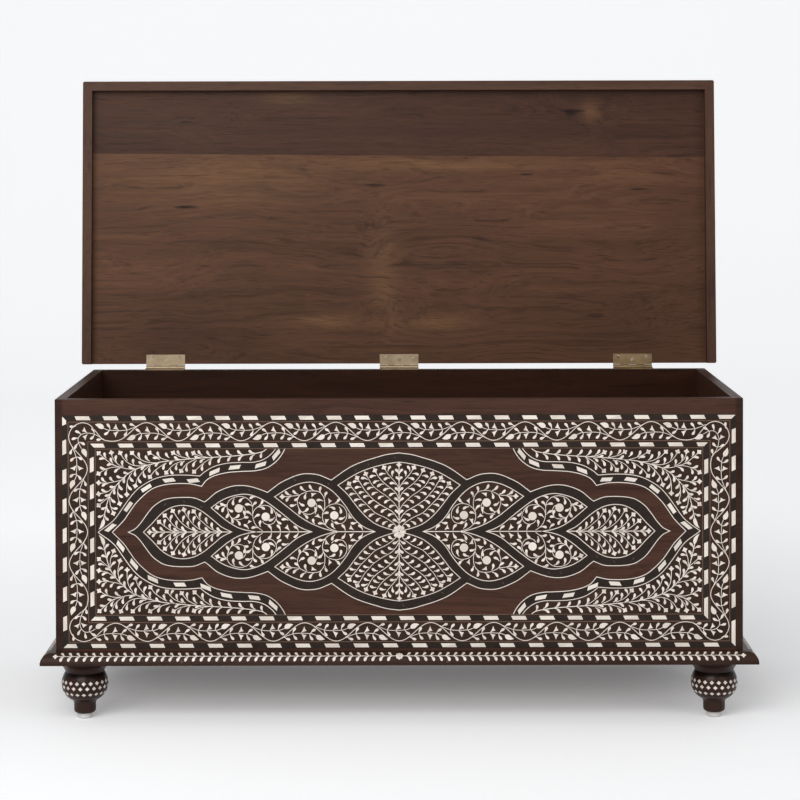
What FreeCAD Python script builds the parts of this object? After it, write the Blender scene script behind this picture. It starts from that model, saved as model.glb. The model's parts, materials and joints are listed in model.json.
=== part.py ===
import FreeCAD, Part
import math
import os

import Sketcher

# Bone inlay trunk: a storage chest on turned feet, with a lid on three butt hinges.
# Millimetres. +X to the viewer's right, +Y to the back, +Z up.
# The lid stands open. The origin is on the floor, under the middle of the open trunk's extent.

SIZES = {
    # Box
    "body_width": 1200,
    "body_depth": 535,
    "front_height": 441,
    "wall": 19,
    "rebate": 6,
    "corner_round": 4,
    "rim_round": 1.5,
    # Bottom board in its groove, and the corner blocks below it
    "bottom_thickness": 12,
    "groove_depth": 6,
    "groove_play": 0.4,
    "bottom_play": 0.5,
    "block_width": 95,
    "block_height": 22,
    # Base moulding
    "moulding_height": 20,
    "moulding_overhang": 24.5,
    "moulding_nose": 3,
    "moulding_shelf": 7.5,
    # Turned feet, with drops measured down from the collar's top
    "foot_inset": 45,
    "foot_height": 96.6,
    "collar_radius": 47,
    "collar_band": 7,
    "collar_hollow": 2,
    "neck_radius": 34,
    "neck_drop": 23,
    "bulb_radius": 40.8,
    "bulb_drop": 45,
    "waist_radius": 24.7,
    "waist_drop": 72,
    "stem_radius": 19.3,
    "stem_drop": 80,
    "stem_round": 6,
    "spigot_radius": 14,
    "spigot_length": 20,
    "spigot_play": 0.1,
    # Glides under the feet, each on its own nail
    "glide_radius": 13,
    "glide_height": 9.5,
    "glide_round": 3,
    "glide_nail_radius": 1.6,
    "glide_nail_length": 22,
    "glide_nail_head": 4,
    "glide_nail_head_height": 1.5,
    "glide_nail_sink": 3,
    # Lid
    "lid_thickness": 18,
    "lip_thickness": 18,
    "lip_drop": 20,
    "lip_play": 3.5,
    "lid_setback": 0.5,
    "lid_round": 3.5,
    "lid_edge_round": 2,
    "lid_open_angle": 94.2,
    "front_board_left": 123,
    "front_board_right": 133,
    # Butt hinges
    "hinge_length": 76,
    "hinge_end_margin": 103,
    "hinge_offset": 6.5,
    "leaf_width": 25.4,
    "leaf_thickness": 2.4,
    "leaf_gap": 0.3,
    "barrel_radius": 4.2,
    "barrel_play": 0.3,
    "knuckle_play": 0.3,
    "pin_radius": 2,
    "pin_play": 0.05,
    "screw_reach": 20,
    "screw_reach_middle": 14.5,
    "screw_end_margin": 11,
    # Countersunk wood screws
    "screw_head_radius": 3.4,
    "screw_head_height": 1.7,
    "screw_radius": 1.8,
    "screw_length": 14,
    "screw_slot": 0.9,
    "screw_play": 0.05,
    "block_screw_length": 28,
    "block_screw_margin": 13,
    # Nails that hold the moulding
    "nail_radius": 1.4,
    "nail_length": 34,
    "nail_head_radius": 2.4,
    "nail_head_height": 1.2,
    "nail_level": 6.5,
    "nail_play": 0.05,
    # Inlaid border strips of ebony with bone chips
    "strip_width": 10.5,
    "strip_depth": 2.5,
    "chip_width": 6.8,
    "chip_length": 24.8,
    "chip_pitch": 50,
    "chip_skew": 3.1,
    "chip_depth": 1.5,
    "chip_least": 8,
    "chip_run_on": 18,
    "chip_mitre_play": 0.5,
    "vine_band": 37.3,
    "border_side_margin": 11.7,
    "border_end_margin": 15,
    "border_top_margin": 27.5,
    "border_bottom_margin": 4.6,
    # One overrun serves every cut
    "overrun": 5,
}

# Places of the nails along the front and the side mouldings, as shares of half their length
FRONT_NAIL_SHARES = (-0.63, -0.24, 0.14, 0.57)
SIDE_NAIL_SHARES = (-0.6, 0.5)
KNUCKLES = 5

# Rows of chips along the top, left, bottom and right of the outer and the inner strip.
# Each row has the place of its first chip and its spacing, as shares of the pitch.
CHIP_ROW_SHARES = (
    ((0.642, 0.974), (0.788, 1.028), (0.772, 1.018), (0.666, 0.958)),
    ((0.18, 1.008), (0.686, 0.94), (0.658, 0.978), (0.772, 0.968)),
)

# How far the middle of a quarter circle stands in from its corner, as a share of the radius
CORNER_SHARE = 1 - math.sqrt(0.5)

# Two lengths that differ by less than this are the same
SAME = 1e-6

doc = FreeCAD.newDocument("trunk")
sheet = doc.addObject("Spreadsheet::Sheet", "Sizes")


class Size:
    """A length that carries its number and the sheet formula it comes from."""

    def __init__(self, number, text):
        self.number = float(number)
        self.text = text

    def __add__(self, other):
        other = as_size(other)
        return Size(self.number + other.number, "(%s + %s)" % (self.text, other.text))

    def __sub__(self, other):
        other = as_size(other)
        return Size(self.number - other.number, "(%s - %s)" % (self.text, other.text))

    def __mul__(self, factor):
        return Size(self.number * factor, "(%s * %s)" % (self.text, repr(factor)))

    def __truediv__(self, divisor):
        return Size(self.number / divisor, "(%s / %s)" % (self.text, repr(divisor)))

    def __neg__(self):
        return Size(-self.number, "(0 - %s)" % self.text)

    def __float__(self):
        return self.number


def as_size(length):
    return length if isinstance(length, Size) else Size(length, repr(length))


class Sheet:
    """The named sizes, as attributes."""


size = Sheet()
for row, (name, number) in enumerate(SIZES.items(), 1):
    sheet.set("A%d" % row, name)
    sheet.set("B%d" % row, str(number))
    sheet.setAlias("B%d" % row, name)
    setattr(size, name, Size(number, "Sizes." + name))
doc.recompute()

ZERO = Size(0, "0")

# Levels and places that many pieces share
half_width = size.body_width / 2
half_depth = size.body_depth / 2
base_level = size.foot_height + size.glide_height
panel_height = size.moulding_height + size.front_height
rim_level = base_level + panel_height
axis_y = half_depth + size.hinge_offset
axis_level = rim_level + size.leaf_thickness + size.leaf_gap
foot_x = half_width - size.foot_inset
foot_y = half_depth - size.foot_inset


def bind(thing, **bindings):
    """Ties properties of an object to formulas of the sheet."""
    for name, length in bindings.items():
        thing.setExpression(name, as_size(length).text)


def place(thing, x=ZERO, y=ZERO, z=ZERO, turned=None):
    """Puts an object at a point that stays tied to the sheet, turned by a fixed rotation."""
    if turned:
        thing.Placement = FreeCAD.Placement(FreeCAD.Vector(), turned)
    for axis, length in zip("xyz", (x, y, z)):
        setattr(thing.Placement.Base, axis, float(length))
        thing.setExpression("Placement.Base." + axis, as_size(length).text)
    return thing


def rotation(x, y, z, angle):
    return FreeCAD.Rotation(FreeCAD.Vector(x, y, z), angle)


UPSIDE_DOWN = rotation(1, 0, 0, 180)
UPRIGHT = rotation(1, 0, 0, 90)
LYING_BACK = rotation(1, 0, 0, -90)
ALONG_X = rotation(0, 1, 0, 90)
TURNED = {-1: rotation(0, 0, 1, -90), 1: rotation(0, 0, 1, 90)}
SIDE_NAMES = {-1: "left", 1: "right"}


def open_lid(thing):
    """Swings a piece, made as on the closed lid about the hinge axis, to the open lid."""
    place(thing, ZERO, axis_y, axis_level, rotation(-1, 0, 0, SIZES["lid_open_angle"]))
    thing.setExpression("Placement.Rotation.Angle", size.lid_open_angle.text)
    return thing


def box(name, x, y, z, at):
    thing = doc.addObject("Part::Box", name)
    bind(thing, Length=x, Width=y, Height=z)
    return place(thing, *at)


def cylinder(name, radius, height, at, turned=None):
    thing = doc.addObject("Part::Cylinder", name)
    bind(thing, Radius=radius, Height=height)
    return place(thing, *at, turned=turned)


def cut(label, base, *tools):
    """Cuts one or more tools from a base, one after another."""
    for number, tool in enumerate(tools, 1):
        result = doc.addObject("Part::Cut", "%s_cut_%d" % (label, number))
        result.Base, result.Tool = base, tool
        base = result
    base.Label = label
    return base


def group(label, things):
    """Identical pieces that share one node, each a solid of its own."""
    result = doc.addObject("Part::Compound", label + "_group")
    result.Links = things
    result.Label = label
    return result


def fuse(name, things):
    result = doc.addObject("Part::MultiFuse", name)
    result.Shapes = things
    return result


def vector(point):
    return FreeCAD.Vector(float(point[0]), float(point[1]), 0)


def new_body(label):
    body = doc.addObject("PartDesign::Body", label)
    body.Label = label
    return body


def plane_of(body, role):
    return next(f for f in body.Origin.OriginFeatures if f.Role == role)


def trace(sketch, corners, arcs=None):
    """Adds a closed outline whose corners are tied to the sheet. arcs maps a side to its middle."""
    arcs = arcs or {}
    first_side = sketch.GeometryCount
    count = len(corners)
    for i, corner in enumerate(corners):
        start, end = vector(corner), vector(corners[(i + 1) % count])
        side = Part.Arc(start, vector(arcs[i]), end) if i in arcs else Part.LineSegment(start, end)
        sketch.addGeometry(side, False)
    ends = []
    for i, corner in enumerate(corners, first_side):
        # An arc is stored anticlockwise, so this side may start at its second point
        forward = sketch.getPoint(i, 1).distanceToPoint(vector(corner)) < SAME
        ends.append((i, 1, 2) if forward else (i, 2, 1))
    for (side, start, _), corner, before in zip(ends, corners, ends[-1:] + ends[:-1]):
        sketch.addConstraint(Sketcher.Constraint("Coincident", before[0], before[2], side, start))
        for kind, length in (("DistanceX", corner[0]), ("DistanceY", corner[1])):
            length = as_size(length)
            if abs(length.number) < SAME:
                axis = -2 if kind == "DistanceX" else -1
                sketch.addConstraint(Sketcher.Constraint("PointOnObject", side, start, axis))
                continue
            tie = Sketcher.Constraint(kind, -1, 1, side, start, length.number)
            sketch.setExpression("Constraints[%d]" % sketch.addConstraint(tie), length.text)


def outline_sketch(body, role, corners, arcs=None, level=ZERO):
    """A closed outline on one of a body's origin planes, raised to a level."""
    sketch = body.newObject("Sketcher::SketchObject", body.Label + "_outline")
    sketch.AttachmentSupport = [(plane_of(body, role), "")]
    sketch.MapMode = "FlatFace"
    sketch.AttachmentOffset.Base.z = float(level)
    sketch.setExpression("AttachmentOffset.Base.z", as_size(level).text)
    doc.recompute()
    trace(sketch, corners, arcs)
    return sketch


def pad(body, sketch, length, midplane=False, reverse=False):
    feature = body.newObject("PartDesign::Pad", body.Label + "_pad")
    feature.Profile = sketch
    feature.Length = float(length)
    bind(feature, Length=length)
    feature.Midplane = midplane
    feature.Reversed = reverse
    doc.recompute()
    return feature


def fillet(body, base, radius, wanted):
    """Rounds each edge of the base for which wanted(middle, direction) is true."""
    names = []
    for number, edge in enumerate(base.Shape.Edges, 1):
        if edge.Curve.TypeId != "Part::GeomLine":
            continue
        middle = edge.valueAt((edge.FirstParameter + edge.LastParameter) / 2)
        if wanted(middle, edge.Curve.Direction):
            names.append("Edge%d" % number)
    feature = body.newObject("PartDesign::Fillet", body.Label + "_fillet")
    feature.Base = (base, names)
    feature.Radius = float(radius)
    bind(feature, Radius=radius)
    doc.recompute()
    return feature


def near(a, b):
    return abs(float(a) - float(b)) < SAME


# Walls


def long_wall(label, side):
    """The front wall (side -1) or the back wall (side 1), rebated at both ends for the side walls."""
    body = new_body(label + "_board")
    outer = half_depth * side
    inner = (half_depth - size.wall) * side
    shoulder = (half_depth - size.wall + size.rebate) * side
    rebate_x = half_width - size.wall
    corners = [
        (-half_width, outer),
        (half_width, outer),
        (half_width, shoulder),
        (rebate_x, shoulder),
        (rebate_x, inner),
        (-rebate_x, inner),
        (-rebate_x, shoulder),
        (-half_width, shoulder),
    ]
    board = pad(body, outline_sketch(body, "XY_Plane", corners), panel_height)
    rounded = fillet(
        body,
        board,
        size.corner_round,
        lambda p, d: near(abs(d.z), 1) and near(abs(p.x), half_width) and near(p.y, outer),
    )
    fillet(
        body,
        rounded,
        size.rim_round,
        lambda p, d: near(p.z, panel_height) and near(abs(d.x), 1) and near(p.y, outer),
    )
    return place(body, z=base_level)


def side_wall(label, side):
    body = new_body(label + "_board")
    outer = half_width * side
    inner = (half_width - size.wall) * side
    end = half_depth - size.wall + size.rebate
    corners = [(inner, -end), (outer, -end), (outer, end), (inner, end)]
    board = pad(body, outline_sketch(body, "XY_Plane", corners), panel_height)
    fillet(
        body,
        board,
        size.rim_round,
        lambda p, d: near(p.z, panel_height) and near(p.x, outer),
    )
    return place(body, z=base_level)


inner_width = size.body_width - size.wall * 2
inner_depth = size.body_depth - size.wall * 2
bottom_level = base_level + size.block_height


def bottom_blank(name, reach, thickness):
    """A board that reaches into the four walls, used for the bottom board and for its groove."""
    half_x, half_y = inner_width / 2 + reach, inner_depth / 2 + reach
    return box(name, half_x * 2, half_y * 2, thickness, (-half_x, -half_y, bottom_level))


groove = bottom_blank(
    "bottom_groove", size.groove_depth, size.bottom_thickness + size.groove_play
)
board_blank = bottom_blank(
    "bottom_board_blank", size.groove_depth - size.bottom_play, size.bottom_thickness
)


# Turned pieces


def swell(widest, other):
    """The middle of the arc that stands upright at its widest point and passes the other point."""
    (r1, z1), (r2, z2) = [(float(r), float(z)) for r, z in (widest, other)]
    centre = (r1**2 - r2**2 - (z2 - z1) ** 2) / (2 * (r1 - r2))
    radius = abs(r1 - centre)
    outward = math.copysign(1, r1 - centre)
    turned = math.atan2(z2 - z1, (r2 - centre) * outward) / 2
    return centre + outward * radius * math.cos(turned), z1 + radius * math.sin(turned)


def beside(a, b, sag):
    """The middle of two points, moved off their line by the sag, towards the axis."""
    (x1, y1), (x2, y2) = [(float(x), float(y)) for x, y in (a, b)]
    across = float(sag) / math.hypot(x2 - x1, y2 - y1)
    return (x1 + x2) / 2 + (y2 - y1) * across, (y1 + y2) / 2 - (x2 - x1) * across


def turned_piece(label, corners, arcs=None):
    """Spins an outline of radius and height about the local Z axis."""
    body = new_body(label)
    spun = body.newObject("PartDesign::Revolution", label + "_turned")
    spun.Profile = outline_sketch(body, "XZ_Plane", corners, arcs)
    spun.ReferenceAxis = (plane_of(body, "Z_Axis"), [""])
    spun.Angle = 360
    doc.recompute()
    return body


def screw(name, length):
    """A countersunk wood screw that runs down from its head's face, with a straight slot."""
    corners = [
        (ZERO, ZERO),
        (size.screw_head_radius, ZERO),
        (size.screw_radius, -size.screw_head_height),
        (size.screw_radius, size.screw_radius - length),
        (ZERO, -length),
    ]
    blank = turned_piece(name + "_blank", corners)
    slot = box(
        name + "_slot",
        size.screw_head_radius * 2,
        size.screw_slot,
        size.screw_slot + size.overrun,
        (-size.screw_head_radius, -(size.screw_slot / 2), -size.screw_slot),
    )
    return cut(name, blank, slot)


def screw_hole(name, length):
    """The countersunk pilot hole that a screw of this length fills, with its play."""
    shank = size.screw_radius + size.screw_play
    mouth = size.screw_head_radius + size.screw_play
    end = -length - size.screw_play
    corners = [
        (ZERO, size.overrun),
        (mouth, size.overrun),
        (mouth, ZERO),
        (shank, -size.screw_head_height),
        (shank, end),
        (ZERO, end),
    ]
    return turned_piece(name, corners)


# Feet and glides


def foot(label, x, y):
    nail_hole = size.glide_nail_radius + size.nail_play
    nail_top = size.glide_nail_length - size.glide_height + size.glide_nail_sink + size.nail_play
    collar = (size.collar_radius, -size.collar_band)
    neck = (size.neck_radius, -size.neck_drop)
    bulb = (size.bulb_radius, -size.bulb_drop)
    waist = (size.waist_radius, -size.waist_drop)
    stem = (size.stem_radius, -size.stem_drop)
    bottom = -size.foot_height
    rounding = (
        size.stem_radius - size.stem_round * CORNER_SHARE,
        bottom + size.stem_round * CORNER_SHARE,
    )
    corners = [
        (ZERO, size.spigot_length),
        (size.spigot_radius, size.spigot_length),
        (size.spigot_radius, ZERO),
        (size.collar_radius, ZERO),
        collar,
        neck,
        bulb,
        waist,
        stem,
        (size.stem_radius, bottom + size.stem_round),
        (size.stem_radius - size.stem_round, bottom),
        (nail_hole, bottom),
        (nail_hole, bottom + nail_top),
        (ZERO, bottom + nail_top),
    ]
    arcs = {
        corners.index(collar): beside(collar, neck, size.collar_hollow),
        corners.index(neck): swell(bulb, neck),
        corners.index(bulb): swell(bulb, waist),
        corners.index(waist): swell(stem, waist),
        corners.index(stem) + 1: rounding,
    }
    return place(turned_piece(label, corners, arcs), x, y, base_level)


def glide(label, x, y):
    """A nylon glide, bored for its nail, whose head is sunk into the underside."""
    bore = size.glide_nail_radius + size.nail_play
    head = size.glide_nail_head + size.nail_play
    head_top = size.glide_nail_sink + size.glide_nail_head_height
    sole = (size.glide_radius - size.glide_round, ZERO)
    rounding = (size.glide_radius - size.glide_round * CORNER_SHARE, size.glide_round * CORNER_SHARE)
    corners = [
        (head, ZERO),
        sole,
        (size.glide_radius, size.glide_round),
        (size.glide_radius, size.glide_height),
        (bore, size.glide_height),
        (bore, head_top),
        (head, head_top),
    ]
    return place(turned_piece(label, corners, {corners.index(sole): rounding}), x, y)


def nail(name, radius, length, head_radius, head_height):
    """A nail whose head starts at the origin and whose shank runs up the local Z axis."""
    corners = [
        (ZERO, ZERO),
        (head_radius, ZERO),
        (head_radius, head_height),
        (radius, head_height),
        (radius, length),
        (ZERO, length),
    ]
    return turned_piece(name, corners)


nodes = []
glide_nails, block_screws, block_holes = [], [], []
for row, side_y in (("front", -1), ("back", 1)):
    for side_x, column in SIDE_NAMES.items():
        corner = row + "_" + column
        x, y = foot_x * side_x, foot_y * side_y
        nodes.append(foot("foot_" + corner, x, y))
        nodes.append(glide("glide_" + corner, x, y))
        held = nail(
            "glide_nail_" + corner,
            size.glide_nail_radius,
            size.glide_nail_length,
            size.glide_nail_head,
            size.glide_nail_head_height,
        )
        glide_nails.append(place(held, x, y, size.glide_nail_sink))

        # The block fills the corner of the walls, under the bottom board
        wall_x, wall_y = inner_width / 2 * side_x, inner_depth / 2 * side_y
        low_x = wall_x - size.block_width if side_x > 0 else wall_x
        low_y = wall_y - size.block_width if side_y > 0 else wall_y
        blank = box(
            "block_blank_" + corner,
            size.block_width,
            size.block_width,
            size.block_height,
            (low_x, low_y, base_level),
        )
        socket = cylinder(
            "socket_" + corner,
            size.spigot_radius + size.spigot_play,
            size.block_height,
            (x, y, base_level),
        )
        near_wall = size.block_screw_margin
        far = size.block_width - size.block_screw_margin
        holes = []
        for number, (dx, dy) in enumerate(((far, near_wall), (far, far), (near_wall, far)), 1):
            at = (wall_x - dx * side_x, wall_y - dy * side_y, base_level)
            name = "block_screw_%s_%d" % (corner, number)
            fixing = screw(name, size.block_screw_length)
            block_screws.append(place(fixing, *at, turned=UPSIDE_DOWN))
            hole = screw_hole(name + "_hole", size.block_screw_length)
            holes.append(place(hole, *at, turned=UPSIDE_DOWN))
        block_holes += holes
        nodes.append(cut("corner_block_" + corner, blank, socket, *holes))
nodes.append(group("glide_nails", glide_nails))
nodes.append(group("corner_block_screws", block_screws))
nodes.append(cut("bottom_board", board_blank, fuse("block_screw_holes", block_holes)))


# Base moulding, mitred at the two front corners, and its nails


def moulding_strip(label, length, left_mitred, right_mitred):
    """A strip along X with its back on the XZ plane. Its plan cuts each end square or mitred."""
    profile = new_body(label + "_profile")
    nose = (-size.moulding_overhang, size.moulding_nose)
    shelf = (-size.moulding_shelf, size.moulding_height)
    corners = [
        (ZERO, ZERO),
        (-size.moulding_overhang, ZERO),
        nose,
        shelf,
        (ZERO, size.moulding_height),
    ]
    sketch = outline_sketch(profile, "YZ_Plane", corners, {corners.index(nose): swell(nose, shelf)})
    pad(profile, sketch, length + size.moulding_overhang * 2, midplane=True)
    plan = new_body(label + "_plan")
    half, over = length / 2, size.moulding_overhang
    plan_corners = [
        (-half, ZERO),
        (-half - over if left_mitred else -half, -over),
        (half + over if right_mitred else half, -over),
        (half, ZERO),
    ]
    pad(plan, outline_sketch(plan, "XY_Plane", plan_corners), size.moulding_height)
    strip = doc.addObject("Part::Common", label + "_strip")
    strip.Base, strip.Tool = profile, plan
    return strip


def curve_reach(level):
    """How far the moulding's curve stands out from the wall at a level."""
    top, nose = size.moulding_height.number, size.moulding_nose.number
    out, shelf = size.moulding_overhang.number, size.moulding_shelf.number
    centre = (out**2 - shelf**2 - (top - nose) ** 2) / (2 * (out - shelf))
    return centre + math.sqrt((out - centre) ** 2 - (float(level) - nose) ** 2)


def moulding_nail(name, at, turned):
    """A nail and its hole, pointing from the moulding into the wall."""
    fixing = nail(
        name, size.nail_radius, size.nail_length, size.nail_head_radius, size.nail_head_height
    )
    hole = nail(
        name + "_hole",
        size.nail_radius + size.nail_play,
        size.nail_length + size.nail_play,
        size.nail_head_radius + size.nail_play,
        size.nail_head_height + size.nail_play,
    )
    mouth = cylinder(
        name + "_mouth",
        size.nail_head_radius + size.nail_play,
        size.overrun,
        (ZERO, ZERO, -size.overrun),
    )
    opened = fuse(name + "_opening", [hole, mouth])
    for piece in (fixing, opened):
        place(piece, *at, turned=turned)
    return fixing, opened


nail_out = curve_reach(size.nail_level + size.nail_head_radius)
nail_z = base_level + size.nail_level
nails, nail_holes = [], {"front": [], "left": [], "right": []}
for number, share in enumerate(FRONT_NAIL_SHARES, 1):
    at = (half_width * share, -half_depth - nail_out, nail_z)
    fixing, hole = moulding_nail("front_nail_%d" % number, at, LYING_BACK)
    nails.append(fixing)
    nail_holes["front"].append(hole)
for side, name in SIDE_NAMES.items():
    for number, share in enumerate(SIDE_NAIL_SHARES, 1):
        at = ((half_width + nail_out) * side, half_depth * share, nail_z)
        turned = TURNED[side] * LYING_BACK
        fixing, hole = moulding_nail("%s_nail_%d" % (name, number), at, turned)
        nails.append(fixing)
        nail_holes[name].append(hole)
nail_tools = {name: fuse(name + "_nail_holes", holes) for name, holes in nail_holes.items()}
nodes.append(group("moulding_nails", nails))

front_strip = moulding_strip("front_moulding", size.body_width, True, True)
place(front_strip, y=-half_depth, z=base_level)
nodes.append(cut("front_moulding", front_strip, nail_tools["front"]))
for side, name in SIDE_NAMES.items():
    # Turned round, the strip's left end is the front end on the right, and its right end on the left
    strip = moulding_strip(name + "_moulding", size.body_depth, side > 0, side < 0)
    place(strip, half_width * side, ZERO, base_level, TURNED[side])
    nodes.append(cut(name + "_moulding", strip, nail_tools[name]))


# Butt hinges. Each leaf is made about its own axis, with the lid closed.


def leaf(label, side, screws):
    """The box leaf (side -1) or the lid leaf (side 1), which take turns with the knuckles."""
    level = size.leaf_gap if side > 0 else -size.leaf_gap - size.leaf_thickness
    half = size.hinge_length / 2
    near_edge = size.barrel_radius + size.barrel_play
    plate = box(
        label + "_plate",
        size.hinge_length,
        size.leaf_width - near_edge,
        size.leaf_thickness,
        (-half, -size.leaf_width, level),
    )
    solids = [plate]
    pitch = size.hinge_length / KNUCKLES
    for number in range(0 if side < 0 else 1, KNUCKLES, 2):
        start = pitch * number - half
        length = pitch
        if number > 0:
            start = start + size.knuckle_play
            length = length - size.knuckle_play
        web = box(
            "%s_web_%d" % (label, number),
            length,
            near_edge,
            size.leaf_thickness,
            (start, -near_edge, level),
        )
        knuckle = cylinder(
            "%s_knuckle_%d" % (label, number),
            size.barrel_radius,
            length,
            (start, ZERO, ZERO),
            ALONG_X,
        )
        solids += [web, knuckle]
    bore = cylinder(
        label + "_bore",
        size.pin_radius + size.pin_play,
        size.hinge_length + size.overrun * 2,
        (-half - size.overrun, ZERO, ZERO),
        ALONG_X,
    )
    return cut(label, fuse(label + "_blank", solids), bore, *screws)


hinge_x = half_width - size.hinge_end_margin - size.hinge_length / 2
hinge_inset = size.hinge_length / 2 - size.screw_end_margin
SCREW_PLACES = (
    (-hinge_inset, -size.screw_reach),
    (ZERO, -size.screw_reach_middle),
    (hinge_inset, -size.screw_reach),
)
box_screws, box_holes, lid_screws, lid_holes, mortises, lid_leaves = [], [], [], [], [], []
for name, x in (("left", -hinge_x), ("centre", ZERO), ("right", hinge_x)):
    own_box_holes, own_lid_holes = [], []
    for number, (dx, dy) in enumerate(SCREW_PLACES, 1):
        label = "%s_hinge_screw_%d" % (name, number)
        box_at = (x + dx, axis_y + dy, axis_level - size.leaf_gap)
        box_screws.append(place(screw("box_" + label, size.screw_length), *box_at))
        hole = screw_hole("box_%s_hole" % label, size.screw_length)
        box_holes.append(place(hole, *box_at))
        own = screw_hole("box_%s_leaf_hole" % label, size.screw_length)
        own_box_holes.append(place(own, dx, dy, -size.leaf_gap))
        lid_at = (x + dx, dy, size.leaf_gap)
        lid_screws.append(
            place(screw("lid_" + label, size.screw_length), *lid_at, turned=UPSIDE_DOWN)
        )
        hole = screw_hole("lid_%s_hole" % label, size.screw_length)
        lid_holes.append(place(hole, *lid_at, turned=UPSIDE_DOWN))
        own = screw_hole("lid_%s_leaf_hole" % label, size.screw_length)
        own_lid_holes.append(place(own, dx, dy, size.leaf_gap, UPSIDE_DOWN))
    box_leaf = leaf(name + "_hinge_box_leaf", -1, own_box_holes)
    nodes.append(place(box_leaf, x, axis_y, axis_level))
    lid_leaf = leaf(name + "_hinge_lid_leaf_flat", 1, own_lid_holes)
    place(lid_leaf, x)
    nodes.append(open_lid(group(name + "_hinge_lid_leaf", [lid_leaf])))
    pin = cylinder(
        name + "_hinge_pin",
        size.pin_radius,
        size.hinge_length,
        (x - size.hinge_length / 2, axis_y, axis_level),
        ALONG_X,
    )
    nodes.append(pin)
    mortises.append(
        box(
            name + "_mortise",
            size.hinge_length,
            size.leaf_width,
            size.leaf_thickness + size.overrun,
            (x - size.hinge_length / 2, -size.leaf_width, size.leaf_gap - size.overrun),
        )
    )
nodes.append(group("hinge_box_screws", box_screws))
nodes.append(open_lid(group("hinge_lid_screws", lid_screws)))


# Border strips: two ebony frames round each field, with slanted bone chips let into them


def free_sketch(name, outlines, turned=None, at=(ZERO, ZERO, ZERO)):
    """A sketch on a face's own frame: its X and Y lie in the face and its Z points out of it."""
    sketch = doc.addObject("Sketcher::SketchObject", name)
    for corners in outlines:
        trace(sketch, corners)
    return place(sketch, *at, turned=turned)


def let_in(name, sketch, depth):
    """The solids that reach from a face's sketch into the wood."""
    solid = doc.addObject("Part::Extrusion", name)
    solid.Base = sketch
    solid.DirMode = "Normal"
    solid.Reversed = True
    solid.Solid = True
    solid.FaceMakerClass = "Part::FaceMakerBullseye"
    bind(solid, LengthFwd=depth)
    return solid


def frame_outline(half_x, half_y):
    return [(-half_x, -half_y), (half_x, -half_y), (half_x, half_y), (-half_x, half_y)]


def chip_quads(half_x, half_y, row_shares):
    """The slanted chips that run round a strip's middle line. At a corner they end on its mitre."""
    quads = []
    pitch, half_chip = float(size.chip_pitch), float(size.chip_length) / 2
    half_wide, slant = float(size.chip_width) / 2, float(size.chip_skew) / 2
    mitre = half_wide + float(size.chip_mitre_play)
    past = half_wide - float(size.chip_mitre_play)
    half_x, half_y = float(half_x), float(half_y)
    for quarter, (lead_share, pitch_share) in enumerate(row_shares):
        along, out = (half_x, half_y) if quarter % 2 == 0 else (half_y, half_x)
        cosine, sine = round(math.cos(quarter * math.pi / 2)), round(math.sin(quarter * math.pi / 2))
        middle = pitch * lead_share - along
        while middle - half_chip < along - float(size.chip_least):
            start, end = middle - half_chip, middle + half_chip
            inner, outer = [start + slant, end + slant], [start - slant, end - slant]
            if start < half_wide - along:
                inner[0], outer[0] = mitre - along, -past - along
            if end > along - float(size.chip_run_on):
                inner[1], outer[1] = along - mitre, along + past
            quad = [
                (inner[0], out - half_wide),
                (inner[1], out - half_wide),
                (outer[1], out + half_wide),
                (outer[0], out + half_wide),
            ]
            quads.append([(s * cosine - t * sine, s * sine + t * cosine) for s, t in quad])
            middle += pitch * pitch_share
    return quads


def plain_sketch(name, quads, turned=None, at=(ZERO, ZERO, ZERO)):
    """A sketch of many small quadrilaterals, worked out from the sizes by their loop."""
    sketch = doc.addObject("Sketcher::SketchObject", name)
    sides = []
    for quad in quads:
        for a, b in zip(quad, quad[1:] + quad[:1]):
            sides.append(Part.LineSegment(vector(a), vector(b)))
    sketch.addGeometry(sides, False)
    return place(sketch, *at, turned=turned)


def border(face, half_x, half_y, turned, at):
    """The strips, the chips and the recess of one face. half_x and half_y reach the outer edge."""
    step = size.strip_width + size.vine_band
    outlines, quads = [], []
    for inset, row_shares in zip((ZERO, step), CHIP_ROW_SHARES):
        inner = inset + size.strip_width
        outlines.append(frame_outline(half_x - inset, half_y - inset))
        outlines.append(frame_outline(half_x - inner, half_y - inner))
        middle = inset + size.strip_width / 2
        quads += chip_quads(half_x - middle, half_y - middle, row_shares)
    frames = free_sketch(face + "_frames", outlines, turned, at)
    recess = let_in(face + "_recess", frames, size.strip_depth)
    chips = let_in(face + "_chips", plain_sketch(face + "_quads", quads, turned, at), size.chip_depth)
    strips = cut(face + "_strips", recess, chips)
    return recess, group(face + "_border_strips", [strips]), group(face + "_border_chips", [chips])


face_half_height = (size.front_height - size.border_top_margin - size.border_bottom_margin) / 2
face_level = base_level + size.moulding_height + size.border_bottom_margin + face_half_height

front_recess, strips, chips = border(
    "front",
    half_width - size.border_side_margin,
    face_half_height,
    UPRIGHT,
    (ZERO, -half_depth, face_level),
)
nodes += [strips, chips]
front_board = long_wall("front_panel", -1)
nodes.append(cut("front_panel", front_board, groove, front_recess, nail_tools["front"]))
for side, name in SIDE_NAMES.items():
    recess, strips, chips = border(
        name,
        half_depth - size.border_end_margin,
        face_half_height,
        TURNED[side] * UPRIGHT,
        (half_width * side, ZERO, face_level),
    )
    nodes += [strips, chips]
    board = side_wall(name + "_panel", side)
    nodes.append(cut(name + "_panel", board, groove, recess, nail_tools[name]))
back_board = long_wall("back_panel", 1)
nodes.append(cut("back_panel", back_board, groove, fuse("box_hinge_holes", box_holes)))


# Lid, made closed about the hinge axis, then opened

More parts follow.
